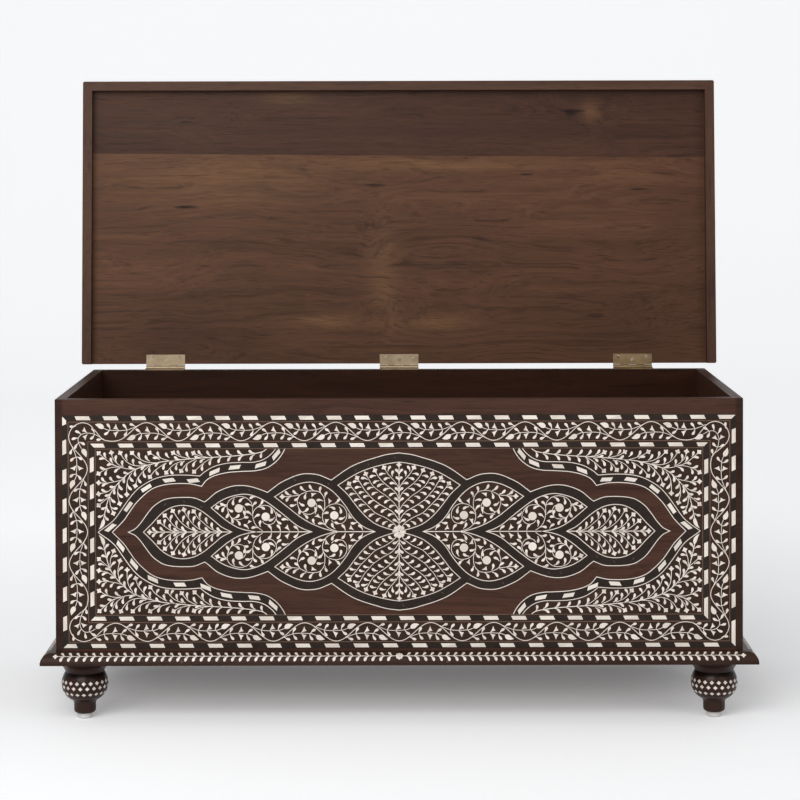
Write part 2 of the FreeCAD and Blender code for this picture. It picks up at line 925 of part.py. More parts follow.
lid_back = -size.hinge_offset - size.lid_setback
lip_in_x = half_width + size.lip_play
lip_out_x = lip_in_x + size.lip_thickness
lip_in_y = -size.hinge_offset - size.body_depth - size.lip_play
lip_out_y = lip_in_y - size.lip_thickness
lid_top = size.leaf_gap + size.lid_thickness


def lid_board(label, corners):
    body = new_body(label + "_blank")
    pad(body, outline_sketch(body, "XY_Plane", corners, level=size.leaf_gap), size.lid_thickness)
    return body


def lid_lip(label, corners, arcs, outer):
    """A lip that hangs below the panel, its outer top edge rounded along the sides named outer."""
    body = new_body(label)
    level = size.leaf_gap - size.lip_drop
    sketch = outline_sketch(body, "XY_Plane", corners, arcs, level)
    board = pad(body, sketch, size.lip_drop + size.lid_thickness)
    fillet(body, board, size.lid_edge_round, lambda p, d: near(p.z, lid_top) and outer(p))
    return body


join = {-1: lip_in_y + size.front_board_left, 1: lip_in_y + size.front_board_right}
rear_corners = [
    (-lip_in_x, lid_back),
    (-lip_in_x, join[-1]),
    (lip_in_x, join[1]),
    (lip_in_x, lid_back),
]
front_corners = [
    (-lip_in_x, join[-1]),
    (-lip_in_x, lip_in_y),
    (lip_in_x, lip_in_y),
    (lip_in_x, join[1]),
]
lid_middle_y = (lid_back + lip_out_y) / 2
lid_recess, strips, chips = border(
    "lid",
    half_width - size.border_side_margin,
    (lid_back - lip_out_y) / 2 - size.border_top_margin,
    None,
    (ZERO, lid_middle_y, lid_top),
)
nodes += [open_lid(strips), open_lid(chips)]
rear = cut(
    "lid_rear_board",
    lid_board("lid_rear_board", rear_corners),
    lid_recess,
    fuse("hinge_mortises", mortises),
    fuse("lid_hinge_holes", lid_holes),
)
front = cut("lid_front_board", lid_board("lid_front_board", front_corners), lid_recess)
nodes += [open_lid(rear), open_lid(front)]

# The rounded front corner of the lid is halved by the mitre
rounding = size.lid_round
corner_cut = rounding * CORNER_SHARE
tip_x, tip_y = lip_out_x - corner_cut, lip_out_y + corner_cut
arc_share = 1 - math.cos(math.pi / 8)
arc_far = 1 - math.sin(math.pi / 8)
for side, name in SIDE_NAMES.items():
    corners = [
        (lip_in_x * side, lid_back),
        (lip_in_x * side, lip_in_y),
        (tip_x * side, tip_y),
        (lip_out_x * side, lip_out_y + rounding),
        (lip_out_x * side, lid_back - rounding),
        ((lip_out_x - rounding) * side, lid_back),
    ]
    arcs = {
        2: ((lip_out_x - rounding * arc_share) * side, lip_out_y + rounding * arc_far),
        4: ((lip_out_x - corner_cut) * side, lid_back - corner_cut),
    }
    lip = lid_lip("lid_%s_lip" % name, corners, arcs, lambda p: near(abs(p.x), lip_out_x))
    nodes.append(open_lid(lip))
corners = [
    (-lip_in_x, lip_in_y),
    (-tip_x, tip_y),
    (rounding - lip_out_x, lip_out_y),
    (lip_out_x - rounding, lip_out_y),
    (tip_x, tip_y),
    (lip_in_x, lip_in_y),
]
arcs = {
    1: (-(lip_out_x - rounding * arc_far), lip_out_y + rounding * arc_share),
    3: (lip_out_x - rounding * arc_far, lip_out_y + rounding * arc_share),
}
nodes.append(open_lid(lid_lip("lid_front_lip", corners, arcs, lambda p: near(p.y, lip_out_y))))


# The open lid leans out behind the box, so every piece moves forward by half of what it adds


def along_open_lid(length, ratio):
    """A length along or across the closed lid, as it counts towards the back when the lid is open."""
    angle = math.radians(float(size.lid_open_angle))
    return Size(
        length.number * getattr(math, ratio)(angle),
        "(%s * %s(%s))" % (length.text, ratio, size.lid_open_angle.text),
    )


front_reach = half_depth + size.moulding_overhang
lid_reach = along_open_lid(lip_out_y + size.lid_edge_round, "cos")
lid_reach = lid_reach + along_open_lid(lid_top - size.lid_edge_round, "sin")
back_reach = axis_y + lid_reach + size.lid_edge_round
forward = (back_reach - front_reach) / 2
for node in nodes:
    formulas = dict(node.ExpressionEngine)
    own = formulas.get(".Placement.Base.y", formulas.get("Placement.Base.y", "0"))
    place_y = Size(node.Placement.Base.y, own) - forward
    node.Placement.Base.y = float(place_y)
    node.setExpression("Placement.Base.y", place_y.text)


# Check every object and write each piece to its own file

doc.recompute()
failed = [thing.Label for thing in doc.Objects if {"Invalid", "Error"} & set(thing.State)]
failed += [node.Label for node in nodes if node.Shape.isNull() or not node.Shape.isValid()]
if failed:
    raise SystemExit("These objects failed: " + ", ".join(failed))
os.makedirs("parts", exist_ok=True)
for node in nodes:
    node.Shape.exportStep("parts/%s.step" % node.Label)
    print("%-28s %4d solids %12.0f mm3" % (node.Label, len(node.Shape.Solids), node.Shape.Volume))
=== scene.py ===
import json
import math

import bpy
import numpy as np
from mathutils import Matrix, Vector


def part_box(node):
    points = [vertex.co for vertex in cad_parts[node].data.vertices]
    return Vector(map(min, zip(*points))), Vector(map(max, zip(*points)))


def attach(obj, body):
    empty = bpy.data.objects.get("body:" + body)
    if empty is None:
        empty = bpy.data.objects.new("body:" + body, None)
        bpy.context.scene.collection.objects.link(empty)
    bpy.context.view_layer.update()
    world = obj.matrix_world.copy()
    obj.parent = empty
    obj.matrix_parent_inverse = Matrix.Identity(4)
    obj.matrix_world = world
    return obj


# Bone inlay trunk, dressed round its CAD frame. Blender works in metres.
# The ornament is drawn flat, in millimetres from the middle of each face, and laid on that face.

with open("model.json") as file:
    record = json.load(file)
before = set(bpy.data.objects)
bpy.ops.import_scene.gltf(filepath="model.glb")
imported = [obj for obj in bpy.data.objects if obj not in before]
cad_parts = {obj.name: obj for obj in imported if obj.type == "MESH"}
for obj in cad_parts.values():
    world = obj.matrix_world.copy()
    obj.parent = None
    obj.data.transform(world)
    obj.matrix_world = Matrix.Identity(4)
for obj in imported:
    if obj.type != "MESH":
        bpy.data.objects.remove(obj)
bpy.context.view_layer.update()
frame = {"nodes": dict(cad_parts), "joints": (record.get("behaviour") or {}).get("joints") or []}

MM = 0.001

# The photograph, in its own pixels, and the camera that fits it
PHOTO_PIXELS = 800
FOCAL_PIXELS = 2404.0
OPTICAL_ROW = 186.3
SENSOR_MM = 36.0
CAMERA_SIDEWAYS = 0.0051
CAMERA_TO_FRONT = 4.1768
CAMERA_OVER_RIM = 0.4612
CAMERA_PITCH = 1.25
CAMERA_YAW = 0.03
CAMERA_ROLL = -0.133

# The border, as the CAD lays it: two strips with a band for the vine between them
STRIP_WIDTH = 10.5
VINE_BAND = 37.3

# Relief above the wood: plates of ebony, darker grounds, thin lines and bone
SUNK = -0.4
EBONY_TOP = 0.08
GROUND_TOP = 0.14
LINE_TOP = 0.2
BONE_TOP = 0.32
# Pieces that cross differ a hair in height, so no two share a plane
LIFT = 0.004
LIFTS = 8

# Widths of the inlaid lines, and the size of a leaf
STEM_WIDTH = 1.4
TWIG_WIDTH = 1.05
VINE_WIDTH = 1.3
VINE_TWIG_WIDTH = 1.0
LEAF_WIDTH = 4.5
LEAF_BEND = 0.14
BLOOM = 4.65
DISC_RADIUS = 7.3
OUTLINE_WIDTH = 1.3
FILLET_WIDTH = 0.75
FILLET_GAP = 1.5
DISC_POINTS = 24
FLOWER_POINTS = 32
FLOWER_WAIST_SHARE = 0.62
BELL_HOLLOW_SHARE = 0.2
# In a corner a line widens by one over the cosine of half its turn, taken as no less than this
SHARPEST_TURN_SHARE = 0.4


# Points and paths


def smooth(points, closed=False, step=3.0):
    """A smooth path through the points, with a place about every step."""
    known = np.array(points, float)
    count = len(known)
    if closed:
        known = np.vstack([known[-1:], known, known[:2]])
    else:
        ends = 2 * known[0] - known[1], 2 * known[-1] - known[-2]
        known = np.vstack([ends[:1], known, ends[1:]])
    # Time goes with the root of the distance, which keeps the path from looping
    gaps = np.sqrt(np.linalg.norm(np.diff(known, axis=0), axis=1))
    clock = np.concatenate([[0], np.cumsum(gaps)])
    path = []
    for i in range(1, count + 1 if closed else count):
        span = clock[i + 1] - clock[i]
        start = (known[i + 1] - known[i - 1]) / (clock[i + 1] - clock[i - 1]) * span
        end = (known[i + 2] - known[i]) / (clock[i + 2] - clock[i]) * span
        parts = max(2, math.ceil(np.linalg.norm(known[i + 1] - known[i]) / step))
        for part in range(parts):
            t = part / parts
            path.append(
                known[i] * (2 * t**3 - 3 * t**2 + 1)
                + start * (t**3 - 2 * t**2 + t)
                + known[i + 1] * (3 * t**2 - 2 * t**3)
                + end * (t**3 - t**2)
            )
    if not closed:
        path.append(known[-2])
    return np.array(path)


def chained(*runs):
    """Smooth runs that meet in sharp corners. Each run after the first starts where one ended."""
    path = smooth(runs[0])
    for run in runs[1:]:
        path = np.vstack([path[:-1], smooth([path[-1], *run])])
    return path


# What mirroring across a line along each axis does to x and y
ACROSS = {"x": (1, -1), "y": (-1, 1)}


def both_ways(path, axis):
    """A path from one mirror line to itself, joined to its mirror image on the way back."""
    return np.vstack([path, (path * ACROSS[axis])[::-1][1:]])


def lengths(path):
    return np.concatenate([[0], np.cumsum(np.linalg.norm(np.diff(path, axis=0), axis=1))])


def along(path, distance):
    """The place and the heading at a distance along a path."""
    run = lengths(path)
    distance = min(max(distance, 0), run[-1])
    i = min(max(int(np.searchsorted(run, distance)) - 1, 0), len(path) - 2)
    step = path[i + 1] - path[i]
    heading = step / np.linalg.norm(step)
    return path[i] + heading * (distance - run[i]), heading


def resampled(path, count):
    run = lengths(path)[-1]
    return np.array([along(path, run * i / (count - 1))[0] for i in range(count)])


def turned(vector, degrees):
    angle = math.radians(degrees)
    c, s = math.cos(angle), math.sin(angle)
    return np.array([vector[0] * c - vector[1] * s, vector[0] * s + vector[1] * c])


def side_steps(path, closed):
    """One unit to the left at each place of a path, longer where the path turns sharply."""
    ahead = np.roll(path, -1, axis=0) - path
    if not closed:
        ahead[-1] = ahead[-2]
    ahead /= np.linalg.norm(ahead, axis=1)[:, None]
    behind = np.roll(ahead, 1, axis=0)
    if not closed:
        behind[0] = ahead[0]
    left_ahead = np.stack([-ahead[:, 1], ahead[:, 0]], axis=1)
    left_behind = np.stack([-behind[:, 1], behind[:, 0]], axis=1)
    middle = left_ahead + left_behind
    middle /= np.maximum(np.linalg.norm(middle, axis=1), 1e-6)[:, None]
    return middle / np.maximum((middle * left_ahead).sum(axis=1), SHARPEST_TURN_SHARE)[:, None]


# Ornament


class Art:
    """Flat inlay: strokes of changing width, plates with a middle, and sheets of any outline."""

    def __init__(self):
        self.strokes, self.plates, self.sheets = [], [], []

    def line(self, path, width, closed=False):
        path = np.array(path, float)
        self.strokes.append((path, np.full(len(path), width / 2), closed))

    def add(self, other, turn=np.eye(2), shift=(0, 0)):
        turn, shift = np.array(turn, float), np.array(shift, float)
        size = math.sqrt(abs(np.linalg.det(turn)))
        for path, halves, closed in other.strokes:
            self.strokes.append((path @ turn.T + shift, halves * size, closed))
        for middle, outline in other.plates:
            self.plates.append((middle @ turn.T + shift, outline @ turn.T + shift))
        for outline in other.sheets:
            self.sheets.append(outline @ turn.T + shift)
        return self


# Shapes of the leaves: how wide they are at shares of their length, from the stalk to the tip
CLUB_SHARES = (
    (0, 0.24), (0.16, 0.28), (0.32, 0.42), (0.46, 0.7), (0.6, 0.94), (0.74, 1), (0.87, 0.84), (0.96, 0.46),
    (1, 0.14),
)
OVAL_SHARES = ((0, 0.2), (0.1, 0.68), (0.28, 1), (0.5, 0.94), (0.76, 0.54), (1, 0.05))


def leaf(art, base, tip, width, bend=0.0, shares=CLUB_SHARES):
    """A leaf from its stalk to its tip. bend bows it to the left, as a share of its length."""
    base, tip = np.array(base, float), np.array(tip, float)
    reach = tip - base
    left = np.array([-reach[1], reach[0]])
    path = [base + reach * t + left * bend * 4 * t * (1 - t) for t, _ in shares]
    halves = np.array([width / 2 * share for _, share in shares])
    art.strokes.append((np.array(path), halves, False))


def bell(art, tip, corner, root):
    """A bellflower seen from the side: a triangle with hollow sides, held by its root."""
    corners = np.array((tip, corner, root), float)
    middle = corners.mean(axis=0)
    outline = []
    for i in range(3):
        start, end = corners[i], corners[(i + 1) % 3]
        for share in (0, 0.25, 0.5, 0.75):
            point = start + (end - start) * share
            outline.append(point + (middle - point) * BELL_HOLLOW_SHARE * math.sin(math.pi * share))
    art.plates.append((middle, np.array(outline)))


def ring_of(middle, radius, count, wave=None):
    """Points round a middle. wave gives the share of the radius at each angle."""
    points = []
    for i in range(count):
        angle = 2 * math.pi * i / count
        reach = radius * (wave(angle) if wave else 1)
        points.append((middle[0] + reach * math.cos(angle), middle[1] + reach * math.sin(angle)))
    return np.array(points)


def disc(art, middle, radius):
    art.plates.append((np.array(middle, float), ring_of(middle, radius, DISC_POINTS)))


def flower(art, middle, radius, heading):
    """A flower of four points, one of them along its stalk's heading."""
    lean = math.atan2(heading[1], heading[0])
    wave = lambda a: FLOWER_WAIST_SHARE + (1 - FLOWER_WAIST_SHARE) * math.cos(2 * (a - lean)) ** 2
    middle = np.array(middle, float)
    art.plates.append((middle, ring_of(middle, radius, FLOWER_POINTS, wave)))


def hang(art, paths, leaves):
    """Leaves from stalk to tip. Each bows towards where the stem beside its stalk is heading."""
    places = np.vstack([path[:-1] for path in paths])
    headings = np.vstack([np.diff(path, axis=0) for path in paths])
    for x, y, tip_x, tip_y in leaves:
        heading = headings[np.hypot(places[:, 0] - x, places[:, 1] - y).argmin()]
        side = (tip_x - x) * heading[1] - (tip_y - y) * heading[0]
        leaf(art, (x, y), (tip_x, tip_y), LEAF_WIDTH, math.copysign(LEAF_BEND, side))


def spray(plain, flowered, leaves, bells=(), discs=(), spine=None):
    """Stems, some with a flower on their end, and all that hangs on them. The spine isn't drawn."""
    art = Art()
    paths = [smooth(points) for points in (*plain, *flowered)]
    for path in paths:
        art.line(path, TWIG_WIDTH)
    for path in paths[len(plain):]:
        flower(art, path[-1], BLOOM, path[-1] - path[-3])
    hang(art, paths if spine is None else [*paths, smooth(spine)], leaves)
    for corners in bells:
        bell(art, *corners)
    for middle in discs:
        disc(art, middle, DISC_RADIUS)
    return art


# The border's vine. A bay is the space in one arch of its wave: x runs ahead, y into the arch.

WAVE = 16.0
WAVE_PERIOD = 110
WAVE_PARTS = 10
# It turns each corner round a middle that lies this far inside its run
TURN_INSET = 9.6
TURN_PARTS = 6
OVAL_WIDTH = 8.6
OVAL_BEND = -0.08
BAY_TWIG = ((-40, -10.8), (-30, -6.4), (-20, -3.2), (-8, -2.2), (3, -2.6), (12, -3.3), (20, -6.4))
BAY_LEAVES = (
    ((-21, -2.8), (-15.8, 7.2), 0.1),
    ((9.8, -2.8), (19, 4.6), 0.1),
    ((-20.5, -3.6), (-13.4, -13.2), -0.1),
    ((8.5, -3.4), (14.4, -14.2), -0.12),
    ((-35.5, -9.4), (-25.4, -13.4), -0.08),
)
BAY_BELLS = (
    ((-1, 9.9), (2.9, 1.6), (-6.8, -1.9)),
    ((-1.6, -14.4), (3, -5.4), (-6.6, -2.8)),
)
BAY_OVAL = ((20, -6.4), (34.6, -13))
TURN_TWIG = (
    (-36, -4), (-25, 2.8), (-18.4, 5.8), (-11.9, 7.3), (-3.2, 7.6), (3.6, 5), (7.9, 1), (9.4, -4.8),
    (7.8, -11.3), (3.6, -19.5),
)
TURN_LEAVES = (
    ((-33, -1.6), (-22.6, -4), -0.08),
    ((-19.5, 5.6), (-11.4, -3), -0.1),
    ((-19, 6.6), (-14.2, 16.8), 0.1),
    ((3.9, 5), (14.6, 11), 0.1),
    ((8.6, -1), (20.6, -3.4), 0.06),
    ((8.8, -8.4), (-2.4, -13.2), -0.1),
    ((8.6, -9.8), (15, -20), 0.1),
)
TURN_BELLS = (
    ((-1.5, 18.3), (2.6, 11), (-6.8, 7.8)),
    ((-3.4, -5), (1.6, 1.8), (-7.4, 6.4)),
)
TURN_OVAL = ((2.6, -20.4), (-4.6, -34.4))
TURN_CORNER_LEAF = ((12.6, 20.6), (24.2, 19.6), -0.1)


def bay_art(branch, leaves, bells, oval):
    art = Art()
    art.line(smooth(branch), VINE_TWIG_WIDTH)
    for base, tip, bend in leaves:
        leaf(art, base, tip, LEAF_WIDTH, bend)
    for corners in bells:
        bell(art, *corners)
    leaf(art, *oval, OVAL_WIDTH, OVAL_BEND, OVAL_SHARES)
    return art


BAY = bay_art(BAY_TWIG, BAY_LEAVES, BAY_BELLS, BAY_OVAL)
TURN = bay_art(TURN_TWIG, TURN_LEAVES, TURN_BELLS, TURN_OVAL)
leaf(TURN, *TURN_CORNER_LEAF[:2], LEAF_WIDTH, TURN_CORNER_LEAF[2])


# Before each corner, and after the first, the wave bends sooner: distances from the turn, true and seen
BEND_TRUE = (0, 17.7, 25.2, 32.6, 43.3, 55)
BEND_SEEN = (0, 19.6, 32.7, 42.7, 52, 55)


def vine(half_x, half_y):
    """The wave that runs anticlockwise round a face, with a branch in each of its bays."""
    art = Art()
    inset = STRIP_WIDTH + VINE_BAND / 2
    middle_x, middle_y = half_x - inset, half_y - inset
    stem = []
    for quarter in range(4):
        ahead = turned((-1, 0), 90 * quarter)
        out = turned((0, 1), 90 * quarter)
        half_run, rise = (middle_x, middle_y) if quarter % 2 == 0 else (middle_y, middle_x)
        run = 2 * (half_run - TURN_INSET)
        waves = round(run / WAVE_PERIOD)
        period = run / waves
        stretch = period / WAVE_PERIOD
        for i in range(waves * WAVE_PARTS):
            s = i / WAVE_PARTS * period - run / 2
            left = (run / 2 - s) / stretch
            if left < BEND_TRUE[-1] or quarter == 0 and run / stretch - left < BEND_TRUE[-1]:
                left = np.interp(min(left, run / stretch - left), BEND_TRUE, BEND_SEEN)
            wave = WAVE * math.cos(2 * math.pi * left / WAVE_PERIOD)
            stem.append(ahead * s + out * (rise + wave))
        turn_middle = ahead * run / 2 + out * (rise - TURN_INSET)
        radius = TURN_INSET + WAVE
        for i in range(TURN_PARTS):
            angle = math.pi / 2 * i / TURN_PARTS
            stem.append(turn_middle + (out * math.cos(angle) + ahead * math.sin(angle)) * radius)
        for half_wave in range(1, 2 * waves):
            s = half_wave * period / 2 - run / 2
            into = out if half_wave % 2 == 0 else -out
            frame_of_bay = np.stack([ahead * stretch, into], axis=1)
            art.add(BAY, frame_of_bay, ahead * s + out * rise)
        art.add(TURN, np.stack([ahead, out], axis=1), turn_middle)
    art.line(smooth(stem, closed=True, step=2.5), VINE_WIDTH, closed=True)
    return art


def vine_ground(half_x, half_y):
    """The darker ground of the vine, in four pieces that meet in the corners."""
    art = Art()
    outer = STRIP_WIDTH + FILLET_GAP
    inner = STRIP_WIDTH + VINE_BAND - FILLET_GAP
    for x, y in ((1, 1), (-1, 1), (-1, -1), (1, -1)):
        ends = ((outer, x, y), (outer, -y, x), (inner, -y, x), (inner, x, y))
        sheet = [((half_x - inset) * x_side, (half_y - inset) * y_side) for inset, x_side, y_side in ends]
        art.sheets.append(np.array(sheet))
    return art


def fillet_lines(half_x, half_y):
    """Thin lines beside the strips: one inside the outer strip, one on each side of the inner."""
    art = Art()
    inner = STRIP_WIDTH + VINE_BAND
    for inset in (STRIP_WIDTH + FILLET_GAP, inner - FILLET_GAP, inner + STRIP_WIDTH + FILLET_GAP / 2):
        x, y = half_x - inset, half_y - inset
        art.line([(-x, -y), (x, -y), (x, y), (-x, y)], FILLET_WIDTH, closed=True)
    return art


# The corner spandrel, drawn for the upper left, with its band of bone chips

BAND_INNER = chained(
    (
        (-500, 0), (-480, 20.5), (-470, 35), (-460, 49), (-446, 63.5), (-432, 74.5), (-418, 80.5),
        (-400, 84), (-380, 85), (-362, 84), (-344, 80),
    ),
    (
        (-335, 91), (-321, 98.5), (-298, 104), (-270, 106), (-250, 107), (-230, 112), (-213, 124),
        (-203, 137), (-199, 145),
    ),
)
BAND_OUTER = chained(
    (
        (-525, 0), (-498, 20.5), (-480, 45), (-466, 64), (-454, 76.5), (-440, 86), (-426, 93),
        (-410, 97.5), (-392, 99.5), (-368, 99.5), (-347, 98),
    ),
    (
        (-338, 105.5), (-322, 114.5), (-300, 120), (-276, 121.5), (-252, 122), (-235, 127), (-222, 136.5),
        (-215, 145),
    ),
)
SPANDREL_CORNER = (-528.5, 144.6)
# The band's chips in each quarter, drawn in the upper left: where they lie, and how they lean
BAND_CHIPS = {
    (1, 1): (
        (-501, 7, -1), (-472, 43, 0), (-439, 76, 0), (-402, 91, -1), (-359, 90, -1), (-320.5, 106, 1),
        (-285, 112, 1), (-241, 117, 1), (-210.5, 132.5, 1),
    ),
    (-1, 1): (
        (-500, 8, -1), (-476.2, 39.5, 0), (-443.9, 73.5, 0), (-404.5, 91, -1), (-360.8, 90.6, -1),
        (-318.7, 107.8, 1), (-277.3, 113, 1), (-235.7, 119.5, 1), (-210.5, 132.5, 1),
    ),
    (1, -1): (
        (-486, 24, 1), (-461.5, 57, 1), (-428.7, 83, 1), (-383, 92, 1), (-337, 96.6, 1), (-301, 111.5, 1),
        (-251.5, 112.5, 1), (-216.5, 124, 1),
    ),
    (-1, -1): (
        (-486, 24, 1), (-458, 61.7, 1), (-417.5, 89, 1), (-376.6, 92, -1), (-338.5, 96, 1),
        (-295, 111.5, 1), (-245.2, 112, 1), (-209.5, 131, 1),
    ),
}
BAND_CHIP_LENGTH = 19
BAND_CHIP_WIDTH = 6.6
BAND_CHIP_SKEW = 4
BAND_PLACES = 120
SPANDREL_STEM = (
    (-231, 144.5), (-237, 140.5), (-246, 138), (-262, 135.5), (-280, 133.5), (-300, 132), (-325, 130.5),
    (-350, 129), (-370, 127.5), (-385, 126), (-400, 124.5), (-415, 122.5), (-428, 119.5), (-440, 116.5),
    (-451, 113), (-460, 109.5), (-470, 103.5), (-478, 97), (-484, 91), (-490, 85), (-496, 77.5),
    (-502, 69), (-506, 60), (-509, 50), (-511, 42), (-513, 33), (-515, 23),
)
SPANDREL_TIP = ((-515, 23), (-523.5, 5))
SPANDREL_TIP_WIDTH = 6.4
SPANDREL_TIP_BEND = 0.12
SPANDREL_BLOOMS = (
    (
        (-462, 110), (-475, 111), (-483, 113), (-490, 115), (-500, 118.5), (-507, 124), (-514, 130),
        (-523, 138),
    ),
    ((-482, 114), (-487, 117), (-494, 123), (-499, 130), (-501, 139)),
    ((-440, 118), (-447, 116), (-457, 116), (-466, 118), (-473, 122), (-480, 129), (-485.5, 138.5)),
    ((-420, 121), (-432, 121.5), (-441, 123), (-449, 126.5), (-456, 130), (-465, 138.5)),
    ((-390, 125.5), (-400, 125), (-408, 127), (-416, 129.5), (-424, 132.5), (-434.5, 138.5)),
    ((-483, 113), (-495, 114), (-505, 112), (-513, 109), (-523.5, 102.5)),
    ((-486, 91), (-492, 89), (-500, 87.5), (-510, 86), (-523.5, 86.5)),
    ((-497, 79), (-503, 74), (-510, 70), (-523.5, 67)),
    ((-503, 65), (-508, 60), (-514, 55), (-523.5, 47)),
    ((-504.5, 62), (-504, 54), (-503, 46), (-498, 33)),
    ((-487.5, 86), (-489, 80), (-490.5, 70), (-490, 62), (-487, 50)),
    ((-465, 104), (-470, 97), (-473, 90), (-474.5, 80), (-474.5, 66)),
    ((-435, 116), (-440, 112), (-446, 106), (-451, 100), (-456, 93), (-459.5, 81)),
    ((-405, 121), (-414, 116), (-421, 111), (-427, 106), (-434, 96.5)),
    ((-378, 124), (-386, 121), (-392, 118), (-398, 113), (-405.5, 104)),
    ((-362, 128), (-370, 129.5), (-377, 131), (-384, 133), (-393.5, 138.5)),
    ((-354, 127), (-359, 125), (-366, 121.5), (-372, 117), (-379.5, 107)),
    ((-330, 130), (-343, 132), (-350, 134), (-358, 138)),
    ((-324, 130), (-334, 125), (-341, 120), (-347, 115), (-357, 105.5)),
)
SPANDREL_LEAVES = (
    (-510, 129.5, -512.5, 139.5), (-510, 127, -522.5, 127.5), (-498, 120.5, -502, 130.5),
    (-496, 117.5, -509, 116.5), (-508, 111, -521, 114.5), (-508, 109.5, -511, 99),
    (-486, 111.5, -495.5, 104), (-492, 122, -492, 134.5), (-480, 114, -481.5, 125.5),
    (-473, 125, -474.5, 137), (-461, 117, -462.5, 128.5), (-460, 111.5, -471, 115.5),
    (-470, 103.5, -480, 105.5), (-481.5, 95.5, -492, 99),
    (-497, 89, -503.5, 97), (-510, 87.5, -518, 96), (-507, 84.5, -517.5, 80), (-493, 81.5, -504.5, 80),
    (-508, 71.5, -518.5, 75.5), (-503, 68, -513, 64), (-514, 58, -525, 56.5), (-510, 45.5, -519.5, 41),
    (-515, 31, -525.5, 27.5), (-503, 62, -494, 52), (-502, 44, -490.5, 42), (-509, 46, -504.5, 34),
    (-513, 31, -506, 21), (-488.5, 86, -481.5, 74), (-490, 70, -481, 61), (-494, 78, -495.5, 66),
    (-476, 98, -479, 85.5), (-469.5, 100, -462.5, 88.5), (-473.5, 86, -465.5, 74), (-458, 110, -459, 97.5),
    (-454, 97.5, -449, 86), (-445, 107.5, -441, 95), (-433, 116.5, -434, 104), (-440.5, 115.5, -449, 108.5),
    (-442, 119, -453.5, 124), (-434, 124, -441.5, 134.5), (-450, 128, -453, 139.5),
    (-417, 126.5, -429, 129.5), (-415, 130, -420.5, 141), (-417, 121.5, -424.5, 114.5),
    (-423.5, 110, -418.5, 100), (-406.5, 119.5, -410.5, 109), (-400, 130, -406, 139),
    (-398.5, 111, -393, 101.5), (-392, 124.5, -399.5, 118), (-386, 119.5, -387.5, 108),
    (-381, 127, -391.5, 132.5), (-380, 134, -385.5, 143), (-373, 124.5, -380, 116),
    (-368.5, 118, -369, 105.5), (-364.5, 129.5, -370, 140.5), (-352.5, 125, -358.5, 113.5),
    (-346, 130.5, -356, 133), (-342, 134, -349.5, 143), (-338, 127.5, -346.5, 121),
    (-340.5, 119, -342.5, 107), (-326, 132, -334.5, 142.5), (-325.5, 128.5, -329.5, 116.5),
    (-310, 132.5, -319, 143),
    (-309, 131, -314.5, 120.5), (-291, 134, -300.5, 143), (-290.5, 132.5, -298, 123),
    (-271, 135, -281, 143), (-271, 133.5, -279.5, 124), (-251, 138, -261.5, 143), (-251, 135.5, -259, 125),
    (-237.5, 140, -240, 129),
)


def band_chips(centres):
    """Bone chips that follow the middle of the band."""
    art = Art()
    middle = (resampled(BAND_INNER, BAND_PLACES) + resampled(BAND_OUTER, BAND_PLACES)) / 2
    for *centre, lean in centres:
        nearest = int(np.linalg.norm(middle - centre, axis=1).argmin())
        before, after = middle[max(nearest - 2, 0)], middle[min(nearest + 2, len(middle) - 1)]
        heading = (after - before) / np.linalg.norm(after - before)
        chip = [
            middle[nearest] + heading * (BAND_CHIP_LENGTH / 2 * x + BAND_CHIP_SKEW / 2 * y * lean)
            + turned(heading, 90) * BAND_CHIP_WIDTH / 2 * y
            for x, y in ((-1, -1), (1, -1), (1, 1), (-1, 1))
        ]
        art.sheets.append(np.array(chip))
    return art


def spandrel():
    """Returns the bone, the ebony sheet of the band and the darker ground of one corner."""
    band, darker = Art(), Art()
    band.sheets.append(np.vstack([BAND_INNER, BAND_OUTER[::-1]]))
    corner = np.array(SPANDREL_CORNER)
    edge = [(BAND_OUTER[-1][0], corner[1]), corner, (corner[0], BAND_OUTER[0][1])]
    darker.sheets.append(np.vstack([BAND_OUTER, edge]))
    bone = spray((), SPANDREL_BLOOMS, SPANDREL_LEAVES, spine=SPANDREL_STEM)
    bone.line(BAND_INNER, OUTLINE_WIDTH)
    bone.line(BAND_OUTER, OUTLINE_WIDTH)
    bone.line(smooth(SPANDREL_STEM), STEM_WIDTH)
    leaf(bone, *SPANDREL_TIP, SPANDREL_TIP_WIDTH, SPANDREL_TIP_BEND, OVAL_SHARES)
    return bone, band, darker


# The chain of medallions. Each outline is drawn for the upper left.

CHAIN = chained(
    (
        (-472, 0), (-460, 6), (-450, 16.5), (-440, 30.5), (-430, 43), (-420, 51), (-410, 56.5),
        (-395, 59.7), (-375, 60.6), (-357, 59.5), (-339, 52.5),
    ),
    (
        (-333, 57), (-320, 68), (-310, 73.5), (-298, 78), (-285, 80.8), (-270, 81), (-255, 78.3),
        (-240, 73.3), (-229, 69),
    ),
    (
        (-220, 76), (-207, 85.5), (-192, 93), (-178, 98.7), (-165, 101.4), (-150, 101), (-138, 98.7),
        (-118, 90.3),
    ),
    ((-110, 96), (-95, 106.7), (-80, 115.5), (-62, 122.8), (-42, 129), (-22, 134.6), (0, 137.5)),
)
ALMOND = smooth(
    (
        (-445.8, 0), (-430.8, 15), (-413, 33.5), (-395.2, 43.7), (-377.5, 46.7), (-359.5, 44),
        (-341.7, 35), (-324, 21), (-309, 8.5), (-292, 0),
    )
)
OUTER_HEART = chained(
    ((-250, 0), (-267.6, 3.2), (-283.2, 8.7), (-301, 20), (-315, 31.5), (-327.5, 42.4)),
    (
        (-312, 53.5), (-296, 61), (-272, 66), (-252, 62.7), (-232, 53), (-212, 38.5), (-196, 25.5),
        (-180, 12.5), (-166, 4.8), (-152, 0),
    ),
)
